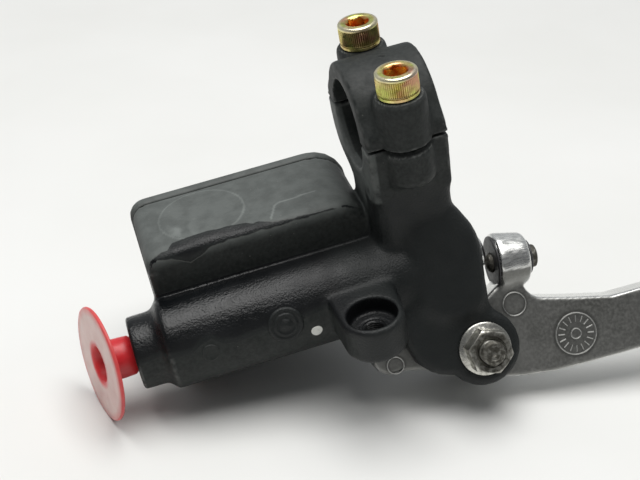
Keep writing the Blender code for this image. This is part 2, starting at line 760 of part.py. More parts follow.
def lever_group(part):
    """Lever with its pivot bush, barrel bush and adjuster, on an empty that lies on the pivot."""
    lever_matrix = lever_frame()
    axis = bpy.data.objects.new("lever_axis", None)
    axis.matrix_world = lever_matrix
    part.pieces.objects.link(axis)
    barrel_matrix = barrel_frame()
    lever = part.plate(
        "lever", lever_outline(), -LEVER_HALF_THICKNESS, LEVER_HALF_THICKNESS, lever_matrix
    )
    bevel(lever, 0.5, 1)
    hub = part.cylinder("hub", HUB_RADIUS, -HUB_HALF_THICKNESS, HUB_HALF_THICKNESS, lever_matrix, 24)
    barrel = part.cylinder(
        "barrel", BARREL_RADII[0], 0.0, BARREL_LENGTH, barrel_matrix, FACETS, top_radius=BARREL_RADII[1]
    )
    bevel(barrel, 0.8, 2)
    tip = part.ball("tip_ball", 7.6, lever_matrix @ Matrix.Translation((160.0 * MM, 7.0 * MM, 0.0)))
    part.join(lever, hub, barrel, tip)
    barrel_bore = part.cylinder("barrel_bore", BARREL_BORE_RADIUS, -3.0, BARREL_BORE_DEPTH, barrel_matrix, 28)
    hole_radius = ADJUSTER_RADIUS + THREAD_GAP
    adjuster_hole = part.cylinder("adjuster_hole", hole_radius, -2.0, 14.0, barrel_matrix, 16)
    hub_bore = part.cylinder("hub_bore", BUSH_RADIUS + THREAD_GAP, -9.0, 9.0, lever_matrix, 20)
    part.cut(lever, barrel_bore, adjuster_hole, hub_bore)
    part.finish(lever, "cast_aluminium", axis)
    pivot_bush = part.turned(
        "pivot_bush",
        [
            (BUSH_RADIUS, HUB_HALF_THICKNESS),
            (BUSH_RADIUS, -HUB_HALF_THICKNESS),
            (PIVOT_BOLT_RADIUS + THREAD_GAP, -HUB_HALF_THICKNESS),
            (PIVOT_BOLT_RADIUS + THREAD_GAP, HUB_HALF_THICKNESS),
        ],
        lever_matrix,
        closed=True,
        facets=20,
    )
    part.finish(pivot_bush, "bronze", axis)
    barrel_bush = part.turned(
        "barrel_bush",
        [(5.0, 6.4), (5.0, 1.2), (4.4, 0.6), (3.4, 1.6), (2.8, 3.4), (2.8, 6.4)],
        barrel_matrix,
        closed=True,
        facets=28,
    )
    part.finish(barrel_bush, "dark_plastic", axis)
    adjuster = part.turned(
        "adjuster_screw",
        [(0.0, 11.3), (2.0, 11.3), (2.4, 10.9), (ADJUSTER_RADIUS, 10.4), (ADJUSTER_RADIUS, -0.6)]
        + [(2.1, -1.1), (1.3, -1.5), (0.0, -ADJUSTER_REACH)],
        barrel_matrix,
        facets=16,
    )
    part.finish(adjuster, "plated_steel", axis)
    washer = part.turned(
        "adjuster_washer",
        [(3.9, 10.1), (4.4, 9.8), (4.4, 8.9), (2.6, 8.9), (2.6, 10.1)],
        barrel_matrix,
        closed=True,
        facets=24,
    )
    part.finish(washer, "dark_plastic", axis)


def pivot_fasteners(part):
    """Pivot bolt through both ears with its flange nut."""
    lever_matrix = lever_frame()
    seat = EAR_HALF_WIDTH + SEAT_GAP
    bolt = part.cylinder("pivot_bolt", PIVOT_BOLT_RADIUS, -seat - 0.5, 18.9, lever_matrix, 16)
    bevel(bolt, 0.5, 1)
    head = part.cylinder("bolt_head", HEX_RADIUS, -seat - 4.0, -seat, lever_matrix, 6)
    part.join(bolt, head)
    part.finish(bolt, "plated_steel")
    nut = part.turned(
        "pivot_nut",
        [(0.0, seat + 2.0), (5.0, seat + 2.0), (NUT_FLANGE_RADIUS - 0.3, seat + 1.1)]
        + [(NUT_FLANGE_RADIUS, seat), (0.0, seat)],
        lever_matrix,
        facets=28,
    )
    hexagon = part.cylinder("nut_hex", HEX_RADIUS, seat + 0.6, seat + 6.2, lever_matrix, 6)
    nut_hole = part.cylinder("nut_hole", PIVOT_BOLT_RADIUS + THREAD_GAP, 5.0, 25.0, lever_matrix, 16)
    part.join(nut, hexagon)
    part.cut(nut, nut_hole)
    part.finish(nut, "plated_steel")


def transport_plug(part):
    """Soft hollow plug in the hose port, its wide flange sitting a little skewed."""
    bore = bore_frame()
    plug = part.turned(
        "transport_plug",
        [
            (0.0, -66.0),
            (3.9, -66.0),
            (4.3, -66.6),
            (4.3, -73.9),
            (4.75, -74.2),
            (5.0, -81.4),
            (0.0, -81.4),
        ],
        bore,
        facets=24,
    )
    outwards = Vector((0.0, -0.83, 0.56))
    normal = -ALONG * math.cos(PLUG_SKEW) + outwards * math.sin(PLUG_SKEW)
    flange_frame = frame_at((PLUG_FLANGE_X, BORE_Y, BORE_Z), normal)
    flange = part.cylinder("plug_flange", PLUG_FLANGE_RADIUS, -0.7, 0.6, flange_frame, 40)
    hollow = part.cylinder("plug_hollow", 4.1, -90.0, -75.0, bore, 20)
    part.join(plug, flange)
    part.cut(plug, hollow)
    return part.finish(plug, "red_plastic")


def main():
    clear_scene()
    part = Part()
    body_casting(part)
    clamp_cap(part)
    clamp_screws(part)
    reservoir_cover(part)
    piston_group(part)
    return_spring(part)
    bore_closure(part)
    lever_group(part)
    pivot_fasteners(part)
    transport_plug(part)


main()
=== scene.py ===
"""Looks of the brake master cylinder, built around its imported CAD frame.

Everything is in the frame's own axes: +X along the handlebar, +Y towards the reservoir lid,
+Z along the clamp screws. Named sizes are in millimetres, apart from the stage's, and MM turns
them into metres.
"""

import json
import math

import bmesh
import bpy
import numpy as np
from mathutils import Matrix, Vector, noise


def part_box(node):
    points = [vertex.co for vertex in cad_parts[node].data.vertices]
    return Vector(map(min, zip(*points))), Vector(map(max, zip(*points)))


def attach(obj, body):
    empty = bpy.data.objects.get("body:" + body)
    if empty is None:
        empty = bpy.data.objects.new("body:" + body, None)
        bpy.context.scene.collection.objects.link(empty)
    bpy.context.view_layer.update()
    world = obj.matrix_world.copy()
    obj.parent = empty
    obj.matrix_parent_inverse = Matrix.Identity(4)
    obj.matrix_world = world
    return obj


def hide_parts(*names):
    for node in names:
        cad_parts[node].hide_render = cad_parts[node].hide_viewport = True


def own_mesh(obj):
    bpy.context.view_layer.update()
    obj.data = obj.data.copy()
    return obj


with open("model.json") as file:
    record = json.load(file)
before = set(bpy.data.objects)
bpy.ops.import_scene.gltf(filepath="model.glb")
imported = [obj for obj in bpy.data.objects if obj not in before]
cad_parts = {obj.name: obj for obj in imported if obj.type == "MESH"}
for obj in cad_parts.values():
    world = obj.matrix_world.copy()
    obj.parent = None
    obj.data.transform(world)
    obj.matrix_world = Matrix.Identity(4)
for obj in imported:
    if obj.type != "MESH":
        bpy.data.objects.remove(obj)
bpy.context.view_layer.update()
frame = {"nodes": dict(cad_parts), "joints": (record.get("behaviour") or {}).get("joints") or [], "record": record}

MM = 0.001
HOUSING = "housing"
LEVER = "lever"
PLUG = "transport_plug"

# Camera, and the direction that is up when the part lies on its lid, plug and pivot ear
CAMERA_PLACE = (-61.8, -252.8, 141.9)
CAMERA_RIGHT = (0.9514, -0.2614, -0.1626)
CAMERA_UP = (0.2790, 0.5094, 0.8141)
CAMERA_LENS = 68.98
SENSOR_WIDTH = 36.0
UP = Vector((0.204, 0.023, 0.979)).normalized()

# Grain of the remeshed castings
BODY_VOXEL = 0.45
SMALL_VOXEL = 0.36
LEVER_VOXEL = 0.42

# Cylinder and reservoir, as the CAD has them
BORE_Y = -12.0
BORE_Z = -38.5
TUBE_RADIUS = 11.2
TUB_REAR_Z = -16.6
TUB_FLOOR_Y = -7.5
RIM_Y = 17.7
SIGHT = (-48.6, 5.4)
SWITCH = Vector((-18.2, -31.7, -32.0))

# Lever, in its own plane: its barrel's place and lean, and the moulding marks with their radii
BARREL_U = 10.0
BARREL_V = 17.9
BARREL_LEAN = math.radians(-6.7)
FACE_HEIGHT = 4.2
STAMP = (25.35, -4.9)
MARKS = [((11.75, 7.0), 2.95), ((-21.3, 1.0), 2.1)]

# Attribute film on pieces that the oil hasn't reached, and where the body is sure to be dry
DRY = -3.0
FAR_OUTSIDE = -9.0

# Even value of the attributes on the CAD nodes, which show wherever a node keeps its shape
CARRIED_SHARE = 0.15

# Stage in metres and watts: the ceiling light, the pale sheet, and the strength of the room in
# front of the part, behind it, and as the backdrop that only the camera sees
LAMP_SIZE = 0.8
LAMP_DISTANCE = 0.9
LAMP_POWER = 10.8
SHEET_RADIUS = 2.5
SHEET_GAP = 0.00005
ROOM_IN_FRONT = 0.13
ROOM_BEHIND = 0.45
BACKDROP = 0.82

# Corners of the dried tide line on the reservoir's rear wall, along X and Y
TIDE_LINE = [(-33.2, -4.9), (-32.1, -2.4), (-31.2, 0.1), (-30.2, 0.9), (-25.2, 1.3), (-20.3, 1.7)]

# Where the oil film ends, at each X: the height on the cylinder, the height under the
# reservoir's floor, and the depth on the reservoir's rear wall
FILM_ON_TUBE = [(-73.5, -36.0), (-65.3, -35.1), (-60.2, -35.4), (-57.6, -33.9), (-55.2, -33.4)]
FILM_ON_TUBE += [(-52.8, -35.1), (-49.8, -35.9), (-43.1, -35.3), (-34.0, -35.4), (-26.0, -34.2)]
FILM_UNDER_TUB = [(-64.0, -17.6), (-58.8, -18.3), (-54.6, -20.6), (-52.0, -19.6), (-49.1, -18.0)]
FILM_UNDER_TUB += [(-44.2, -17.8)]
FILM_ON_WALL = [(-65.0, -8.0), (-63.0, -6.2), (-59.0, -5.5), (-57.6, -3.1), (-54.8, -3.5), (-49.8, -3.0)]
FILM_ON_WALL += [(-45.7, -3.4), (-39.5, -3.6), (-37.6, -4.9), (-36.4, -4.6), (-33.1, -6.3), (-18.0, -6.8)]


def joint(name):
    return next(j for j in frame["joints"] if j["name"] == name)


PIVOT = Vector(joint("lever_pivot")["pos_m"]) / MM
PIVOT_AXIS = Vector(joint("lever_pivot")["axis"]).normalized()
ALONG = Vector((1.0, 0.0, 0.0))
TOWARDS_BAR = PIVOT_AXIS.cross(ALONG).normalized()


# ---------------------------------------------------------------- places

def frame_at(point, direction):
    """Local Z along a direction, at a point in millimetres."""
    turn = Vector((0.0, 0.0, 1.0)).rotation_difference(Vector(direction))
    return Matrix.Translation(Vector(point) * MM) @ turn.to_matrix().to_4x4()


def lever_frame():
    """Local X along the handlebar, Y towards it, Z along the pivot bolt."""
    turn = Matrix((ALONG, TOWARDS_BAR, PIVOT_AXIS)).transposed()
    return Matrix.Translation(PIVOT * MM) @ turn.to_4x4()


def bore_frame():
    return frame_at((0.0, BORE_Y, BORE_Z), ALONG)


def barrel_frame():
    """Local Z along the lever's barrel, away from the piston."""
    direction = Vector((math.cos(BARREL_LEAN), math.sin(BARREL_LEAN), 0.0))
    return lever_frame() @ frame_at((BARREL_U, BARREL_V, 0.0), direction)


# ---------------------------------------------------------------- materials

class Look:
    """One procedural material, built around its Principled shader."""

    def __init__(self, name, colour, roughness, metallic=0.0, **sockets):
        self.material = bpy.data.materials.new(name)
        self.material.use_nodes = True
        self.tree = self.material.node_tree
        self.shader = self.tree.nodes["Principled BSDF"]
        self.shader.inputs["Base Color"].default_value = (*colour, 1.0)
        self.shader.inputs["Roughness"].default_value = roughness
        self.shader.inputs["Metallic"].default_value = metallic
        for socket, value in sockets.items():
            self.shader.inputs[socket.replace("_", " ")].default_value = value
        self.coordinates = self.tree.nodes.new("ShaderNodeTexCoord").outputs["Object"]

    def node(self, kind, **settings):
        made = self.tree.nodes.new(kind)
        for name, value in settings.items():
            setattr(made, name, value)
        return made

    def link(self, source, target):
        self.tree.links.new(source, target)

    def stretched(self, scale):
        """Object coordinates, scaled along each axis."""
        made = self.node("ShaderNodeMapping")
        made.inputs["Scale"].default_value = scale
        self.link(self.coordinates, made.inputs["Vector"])
        return made.outputs["Vector"]

    def noise(self, size, detail=3.0, vector=None):
        """Noise whose blotches measure about size millimetres."""
        made = self.node("ShaderNodeTexNoise")
        made.inputs["Scale"].default_value = 0.5 / (size * MM)
        made.inputs["Detail"].default_value = detail
        self.link(vector or self.coordinates, made.inputs["Vector"])
        return made.outputs["Fac"]

    def spots(self, size):
        made = self.node("ShaderNodeTexVoronoi")
        made.inputs["Scale"].default_value = 1.0 / (size * MM)
        self.link(self.coordinates, made.inputs["Vector"])
        return made.outputs["Distance"]

    def attribute(self, name):
        return self.node("ShaderNodeAttribute", attribute_name=name).outputs["Fac"]

    def spread(self, value, low, high, to_low=0.0, to_high=1.0):
        """Maps low..high to to_low..to_high, clamped."""
        made = self.node("ShaderNodeMapRange")
        made.inputs["From Min"].default_value = low
        made.inputs["From Max"].default_value = high
        made.inputs["To Min"].default_value = to_low
        made.inputs["To Max"].default_value = to_high
        self.link(value, made.inputs["Value"])
        return made.outputs["Result"]

    def sum(self, a, b, share=1.0):
        made = self.node("ShaderNodeMath", operation="MULTIPLY_ADD")
        self.link(b, made.inputs[0])
        made.inputs[1].default_value = share
        self.link(a, made.inputs[2])
        return made.outputs["Value"]

    def product(self, a, b):
        made = self.node("ShaderNodeMath", operation="MULTIPLY")
        self.link(a, made.inputs[0])
        self.link(b, made.inputs[1])
        return made.outputs["Value"]

    def mix(self, factor, a, b):
        """Colour a where factor is 0 and b where it is 1; each is a colour or a socket."""
        made = self.node("ShaderNodeMix", data_type="RGBA")
        self.link(factor, made.inputs["Factor"])
        for socket, value in ((made.inputs[6], a), (made.inputs[7], b)):
            if isinstance(value, tuple):
                socket.default_value = (*value, 1.0)
            else:
                self.link(value, socket)
        return made.outputs[2]

    def blend(self, factor, a, b):
        """Number a where factor is 0 and b where it is 1; each is a number or a socket."""
        made = self.node("ShaderNodeMix", data_type="FLOAT")
        self.link(factor, made.inputs["Factor"])
        for socket, value in ((made.inputs[2], a), (made.inputs[3], b)):
            if isinstance(value, float):
                socket.default_value = value
            else:
                self.link(value, socket)
        return made.outputs[0]

    def bump(self, height, depth, strength):
        made = self.node("ShaderNodeBump")
        made.inputs["Distance"].default_value = depth * MM
        made.inputs["Strength"].default_value = strength
        self.link(height, made.inputs["Height"])
        return made.outputs["Normal"]

    def paint(self, **sockets):
        """Links outputs to the shader's sockets."""
        for name, output in sockets.items():
            self.link(output, self.shader.inputs[name.replace("_", " ")])
        return self.material


def black_paint():
    """Matte black paint on a casting.

    The attribute film is above 0 where oil has wetted the paint, and across the neck and fork also where painted
    shade darkens it; the pale share is pale deposit, and painted light on the up-facing rear wall and lid; the
    edge share marks scuffed edges, and shore is 1 where a pale rim may follow the film's edge.
    """
    look = Look("black_paint", (0.05, 0.053, 0.052), 0.6, Specular_IOR_Level=0.31)
    film = look.attribute("film")
    edge = look.sum(film, look.spread(look.noise(1.3, 4.0), 0.0, 1.0, -0.5, 0.5))
    wet = look.spread(edge, -0.12, 0.12)
    mottle = look.spread(look.noise(5.0, 5.0), 0.3, 0.7)
    speckle = look.spread(look.noise(0.45, 2.0), 0.3, 0.7)
    dry_colour = look.mix(mottle, (0.009, 0.0112, 0.0105), (0.015, 0.0176, 0.0165))
    dry_colour = look.mix(speckle, dry_colour, (0.024, 0.027, 0.0255))
    # Pale share: deposits, and painted light on the up-facing rear wall and lid.
    pale_deposit_and_light = look.product(look.attribute("pale_deposit_and_light"), look.spread(look.noise(2.2, 5.0), 0.4, 0.6, 0.72, 1.0))
    dry_colour = look.mix(pale_deposit_and_light, dry_colour, (0.205, 0.222, 0.213))
    rim = look.product(look.spread(edge, -0.4, -0.15), look.spread(look.noise(3.0), 0.4, 0.55))
    rim = look.product(rim, look.attribute("shore"))
    dry_colour = look.mix(rim, dry_colour, (0.085, 0.09, 0.085))
    scuffs = look.product(look.attribute("edge_mask"), look.spread(look.noise(0.8, 4.0), 0.35, 0.65))
    dry_colour = look.mix(scuffs, dry_colour, (0.13, 0.135, 0.13))
    # Pale specks of dust.
    pale_layer = look.product(
        look.spread(look.spots(1.7), 0.075, 0.055, 0.0, 0.45),
        look.spread(look.noise(7.0), 0.5, 0.62),
    )
    dry_colour = look.mix(pale_layer, dry_colour, (0.34, 0.34, 0.32))
    wet_colour = look.mix(mottle, (0.003, 0.0035, 0.004), (0.007, 0.008, 0.009))
    wet_colour = look.mix(look.spread(film, 0.9, 1.6, 1.0, 0.0), wet_colour, (0.0115, 0.0135, 0.0135))
    grain = look.noise(0.24, 2.0)
    dry_rough = look.spread(look.noise(1.6, 3.0), 0.3, 0.7, 0.52, 0.66)
    thin_film = look.spread(look.noise(2.2, 3.0), 0.3, 0.7, 0.42, 0.54)
    thick_film = look.spread(look.noise(1.4, 3.0), 0.4, 0.6, 0.1, 0.24)
    wet_rough = look.blend(look.spread(film, 1.5, 6.5), thin_film, thick_film)
    relief = look.sum(grain, look.noise(0.9, 3.0), 0.35)
    height = look.product(relief, look.blend(wet, 1.2, 2.8))
    return look.paint(
        Base_Color=look.mix(wet, dry_colour, wet_colour),
        Roughness=look.blend(wet, dry_rough, wet_rough),
        Normal=look.bump(height, 0.06, 0.8),
    )


def yellow_zinc():
    """Yellow-passivated zinc: gold with green and pink patches, redder inside the socket, painted shade in the
    knurl and a top rim that is partly rubbed and partly a painted highlight.
    """
    look = Look("yellow_zinc", (0.78, 0.6, 0.3), 0.3, 1.0)
    gold = look.mix(look.spread(look.noise(2.0, 2.0), 0.38, 0.62), (0.80, 0.66, 0.30), (0.62, 0.66, 0.18))
    tinted = look.mix(look.spread(look.noise(2.8, 3.0), 0.5, 0.64), gold, (0.66, 0.36, 0.24))
    streaks = look.spread(look.noise(0.9, 4.0), 0.5, 0.7, 0.0, 0.55)
    tinted = look.mix(streaks, tinted, (0.20, 0.11, 0.04))
    # Painted shade: dark brown in the knurl's valleys and in the groove.
    tinted = look.mix(look.spread(look.attribute("groove"), 0.0, 1.0, 0.0, 0.6), tinted, (0.22, 0.15, 0.05))
    # Pale top rim: partly rubbed plating, partly a painted highlight.
    rubbed_and_lit = look.mix(look.spread(look.attribute("edge_mask"), 0.0, 1.0, 0.0, 0.7), tinted, (0.82, 0.77, 0.62))
    socket = look.mix(look.spread(look.noise(1.2), 0.4, 0.6), (0.62, 0.16, 0.05), (0.70, 0.48, 0.16))
    colour = look.mix(look.attribute("inside"), rubbed_and_lit, socket)
    return look.paint(
        Base_Color=colour,
        Roughness=look.spread(look.noise(0.7, 4.0), 0.3, 0.7, 0.2, 0.42),
        Normal=look.bump(look.noise(0.25, 3.0), 0.012, 0.6),
    )


def cast_aluminium():
    """Lever: fine-grained cast faces, and brushed bright metal where the attribute polish is 1."""
    look = Look("cast_aluminium", (0.6, 0.6, 0.59), 0.45, 1.0)
    polish = look.attribute("polish")
    lines = look.noise(0.2, 2.0, look.stretched((0.03, 1.0, 1.0)))
    grain = look.noise(0.35, 3.0)
    cloud = look.spread(look.noise(6.0, 4.0), 0.3, 0.7)
    cast = look.mix(cloud, (0.17, 0.17, 0.16), (0.25, 0.25, 0.24))
    stains = look.spread(look.noise(1.5, 5.0), 0.62, 0.72, 0.0, 0.35)
    cast = look.mix(stains, cast, (0.12, 0.12, 0.11))
    speckle = look.spread(look.noise(0.35, 3.0), 0.4, 0.7, 0.0, 0.4)
    cast = look.mix(speckle, cast, (0.36, 0.36, 0.345))
    cast = look.mix(look.spread(look.attribute("grime"), 0.0, 1.0, 0.0, 0.6), cast, (0.09, 0.09, 0.085))
    bright = look.mix(look.spread(lines, 0.35, 0.65), (0.74, 0.74, 0.72), (0.93, 0.93, 0.91))
    cast_rough = look.spread(grain, 0.3, 0.7, 0.46, 0.6)
    bright_rough = look.spread(lines, 0.3, 0.7, 0.2, 0.34)
    return look.paint(
        Base_Color=look.mix(polish, cast, bright),
        Roughness=look.blend(polish, cast_rough, bright_rough),
        Normal=look.bump(look.blend(polish, grain, look.spread(lines, 0.0, 1.0, 0.0, 0.25)), 0.02, 0.5),
    )


def dull_zinc():
    """Old zinc plate on the pivot nut and bolt: bright patches, dirt and pitted tops."""
    look = Look("dull_zinc", (0.5, 0.49, 0.46), 0.4, 1.0)
    dirt = look.spread(look.noise(0.5, 5.0), 0.35, 0.65, -0.22, 0.3)
    grime = look.sum(look.attribute("grime"), dirt)
    colour = look.mix(look.spread(look.noise(2.5, 3.0), 0.35, 0.65), (0.50, 0.49, 0.45), (0.68, 0.67, 0.62))
    colour = look.mix(look.spread(grime, 0.0, 0.9), colour, (0.10, 0.095, 0.082))
    return look.paint(
        Base_Color=colour,
        Roughness=look.spread(grime, 0.0, 0.8, 0.26, 0.62),
        Normal=look.bump(look.noise(0.3, 4.0), 0.03, 0.6),
    )


def plain_metal(name, dark, bright, roughness, metallic=1.0):
    """Bare or plated metal of the hidden pieces, with turning marks and light stains."""
    look = Look(name, bright, roughness, metallic)
    marks = look.noise(0.3, 2.0, look.stretched((1.0, 0.2, 0.2)))
    stain = look.spread(look.noise(1.8, 4.0), 0.35, 0.65)
    return look.paint(
        Base_Color=look.mix(stain, dark, bright),
        Roughness=look.spread(marks, 0.3, 0.7, roughness - 0.08, roughness + 0.1),
        Normal=look.bump(marks, 0.01, 0.4),
    )


def rubber(name, colour, roughness):
    look = Look(name, colour, roughness)
    pale = tuple(min(1.0, c * 1.9 + 0.01) for c in colour)
    bloom = look.spread(look.noise(2.5, 4.0), 0.4, 0.7, 0.0, 0.7)
    return look.paint(
        Base_Color=look.mix(bloom, colour, pale),
        Roughness=look.spread(look.noise(0.6, 3.0), 0.3, 0.7, roughness - 0.1, roughness + 0.08),
        Normal=look.bump(look.noise(0.4, 3.0), 0.02, 0.5),
    )


def red_polythene():
    """Soft translucent plastic: deep red in the tube, paler where the thin flange lets light through."""
    look = Look("red_polythene", (0.62, 0.02, 0.03), 0.32, Subsurface_Weight=0.35, Subsurface_Scale=0.002)
    look.shader.inputs["Subsurface Radius"].default_value = (1.0, 0.25, 0.2)
    cloud = look.spread(look.noise(4.0, 4.0), 0.35, 0.65)
    deep = look.mix(cloud, (0.50, 0.012, 0.02), (0.68, 0.03, 0.035))
    pale = look.mix(cloud, (0.64, 0.42, 0.39), (0.72, 0.52, 0.48))
    return look.paint(
        Base_Color=look.mix(look.attribute("thin"), deep, pale),
        Roughness=look.spread(look.noise(1.2, 4.0), 0.3, 0.7, 0.28, 0.46),
        Normal=look.bump(look.noise(1.4, 4.0), 0.03, 0.4),
    )


def white_paint():
    look = Look("white_paint", (0.72, 0.72, 0.68), 0.5)
    dirt = look.spread(look.noise(0.5, 4.0), 0.4, 0.75, 0.0, 0.6)
    return look.paint(
        Base_Color=look.mix(dirt, (0.74, 0.74, 0.70), (0.5, 0.5, 0.47)),
        Normal=look.bump(look.noise(0.5, 2.0), 0.02, 0.4),
    )


def make_looks():
    return {
        "black_casting": black_paint(),
        "yellow_zinc": yellow_zinc(),
        "cast_aluminium": cast_aluminium(),
        "plated_steel": dull_zinc(),
        "spring_steel": plain_metal("spring_steel", (0.22, 0.23, 0.25), (0.4, 0.41, 0.43), 0.3),
        "bronze": plain_metal("bronze", (0.42, 0.27, 0.12), (0.62, 0.44, 0.22), 0.38),
        "bright_metal": plain_metal("bright_metal", (0.55, 0.55, 0.55), (0.78, 0.78, 0.77), 0.3),
        "black_rubber": rubber("black_rubber", (0.014, 0.014, 0.014), 0.6),
        "dark_plastic": rubber("dark_plastic", (0.022, 0.022, 0.024), 0.42),
        "white_plastic": rubber("white_plastic", (0.62, 0.62, 0.6), 0.45),
        "red_plastic": red_polythene(),
        "white_paint": white_paint(),
    }


# ---------------------------------------------------------------- mesh tools

def new_object(name, mesh, matrix=None):
    made = bpy.data.objects.new(name, mesh)
    bpy.context.scene.collection.objects.link(made)
    if matrix:
        mesh.transform(matrix)
    return made


def soften(item, degrees=38.0):
    item.data.shade_smooth()
    item.data.set_sharp_from_angle(angle=math.radians(degrees))
    return item


def finish(item, body, slot, look, *replaced):
    """Gives a piece its material and its body, and hides the CAD nodes that it stands for; slot is not used."""
    item.data.materials.clear()
    item.data.materials.append(looks[look])
    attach(item, body)
    if replaced:
        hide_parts(*replaced)
    return item


def set_attribute(mesh, name, values):
    layer = mesh.attributes.get(name) or mesh.attributes.new(name, "FLOAT", "POINT")
    layer.data.foreach_set("value", np.asarray(values, np.float32))


def points_of(mesh):
    flat = np.empty(len(mesh.vertices) * 3)
    mesh.vertices.foreach_get("co", flat)
    return flat.reshape(-1, 3)


def hexagon(apothem):
    """Radius of a hexagon at each angle."""
    return lambda angle: apothem / np.cos((angle + math.pi / 6) % (math.pi / 3) - math.pi / 6)


def smaller(shape, limit):
    return lambda angle: np.minimum(shape(angle), limit)


def larger(shape, limit):
    return lambda angle: np.maximum(shape(angle), limit)


def wavy(radius):
    """Radius of a slightly three-lobed blob at each angle."""
    return lambda angle: radius + 0.05 * np.sin(3 * angle)


def revolve(name, rings, segments, matrix, closed=False, sharp=38.0):
    """Skins rings of (radius, height) in millimetres; a radius may be a function of the angle."""
    angle = np.arange(segments) * math.tau / segments
    points = []
    for radius, height in rings:
        reach = radius(angle) if callable(radius) else np.full(segments, float(radius))
        level = height(angle) if callable(height) else np.full(segments, float(height))
        points.append(np.stack((reach * np.cos(angle), reach * np.sin(angle), level), axis=1))
    count = len(rings)
    faces = []
    for i in range(count if closed else count - 1):
        low, high = i * segments, (i + 1) % count * segments
        for j in range(segments):
            k = (j + 1) % segments
            faces.append((low + j, low + k, high + k, high + j))
    mesh = bpy.data.meshes.new(name)
    mesh.from_pydata((np.concatenate(points) * MM).tolist(), [], faces)
    shape = bmesh.new()
    shape.from_mesh(mesh)
    bmesh.ops.remove_doubles(shape, verts=shape.verts, dist=1e-7)
    bmesh.ops.recalc_face_normals(shape, faces=shape.faces)
    shape.to_mesh(mesh)
    shape.free()
    return soften(new_object(name, mesh, matrix), sharp)


def rounded(corners, radius, steps=4):
    """Profile points with every corner rounded, for revolve."""
    points = []
    for i, corner in enumerate(corners):
        if i in (0, len(corners) - 1):
            points.append(tuple(corner))
            continue
        here = Vector(corner)
        before = Vector(corners[i - 1]) - here
        after = Vector(corners[i + 1]) - here
        reach = min(radius, before.length * 0.45, after.length * 0.45)
        start = here + before.normalized() * reach
        end = here + after.normalized() * reach
        for step in range(steps + 1):
            share = step / steps
            point = start * (1 - share) ** 2 + here * 2 * share * (1 - share) + end * share**2
            points.append(tuple(point))
    return points


class Skin:
    """A remeshed copy of a CAD node, whose vertices are relaxed in numpy."""

    def __init__(self, node, voxel):
        work = new_object("remesh_work", frame["nodes"][node].data.copy())
        step = work.modifiers.new("Even", "REMESH")
        step.mode = "VOXEL"
        step.voxel_size = voxel * MM
        bpy.context.view_layer.update()
        evaluated = work.evaluated_get(bpy.context.evaluated_depsgraph_get())
        self.mesh = bpy.data.meshes.new_from_object(evaluated)
        bpy.data.objects.remove(work, do_unlink=True)
        self.mesh.materials.clear()
        self.points = points_of(self.mesh) / MM
        edges = np.empty(len(self.mesh.edges) * 2, np.int64)
        self.mesh.edges.foreach_get("vertices", edges)
        self.ends = edges.reshape(-1, 2)
        self.near = np.bincount(edges, minlength=len(self.points))

    def pull(self):
        """From each vertex to the middle of its neighbours."""
        a, b = self.ends.T
        total = np.empty_like(self.points)
        for axis in range(3):
            value = self.points[:, axis]
            total[:, axis] = np.bincount(a, value[b], len(value)) + np.bincount(b, value[a], len(value))
        return total / self.near[:, None] - self.points

    def store(self):
        self.mesh.vertices.foreach_set("co", (self.points * MM).ravel())
        self.mesh.update()

    def normals(self):
        self.store()
        flat = np.empty(len(self.points) * 3)
        self.mesh.vertex_normals.foreach_get("vector", flat)
        return flat.reshape(-1, 3)

    def smooth(self, rounds, weight):
        for _ in range(rounds):
            self.points += self.pull() * np.reshape(weight, (-1, 1))

    def fill(self, rounds, weight):
        """Raises hollows only, so inside corners grow into fillets and flat faces stay."""
        for i in range(rounds):
            if i % 8 == 0:
                normals = self.normals()
            pull = self.pull()
            outwards = np.sum(pull * normals, axis=1)
            lift = np.maximum(outwards, 0.0) * weight
            self.points += normals * lift[:, None]

    def edge_mask(self):
        """About 1 on outside edges and 0 elsewhere."""
        bend = -np.sum(self.pull() * self.normals(), axis=1)
        return np.clip(bend / 0.03 - 0.35, 0.0, 1.0)

    def build(self, name):
        self.store()
        self.mesh.name = name
        made = new_object(name, self.mesh)
        made.data.shade_smooth()
        return made


def scattered(points, size, seed=0.0):
    """Smooth noise in -1..1 at each point, for small unevenness."""
    shift = Vector((seed, seed * 0.7, -seed))
    return np.array([noise.noise(Vector(p) / size + shift) for p in points])


# ---------------------------------------------------------------- castings

def lever_coordinates(points):
    """Along the handlebar, towards it and along the pivot bolt, from the pivot, in millimetres."""
    local = points - np.array(PIVOT)
    return local @ np.array(ALONG), local @ np.array(TOWARDS_BAR), local @ np.array(PIVOT_AXIS)


def step_up(value, low, high):
    share = np.clip((value - low) / (high - low), 0.0, 1.0)
    return share * share * (3.0 - 2.0 * share)


def window(value, low, high, edge=2.0):
    return step_up(value, low - edge, low + edge) * (1.0 - step_up(value, high - edge, high + edge))


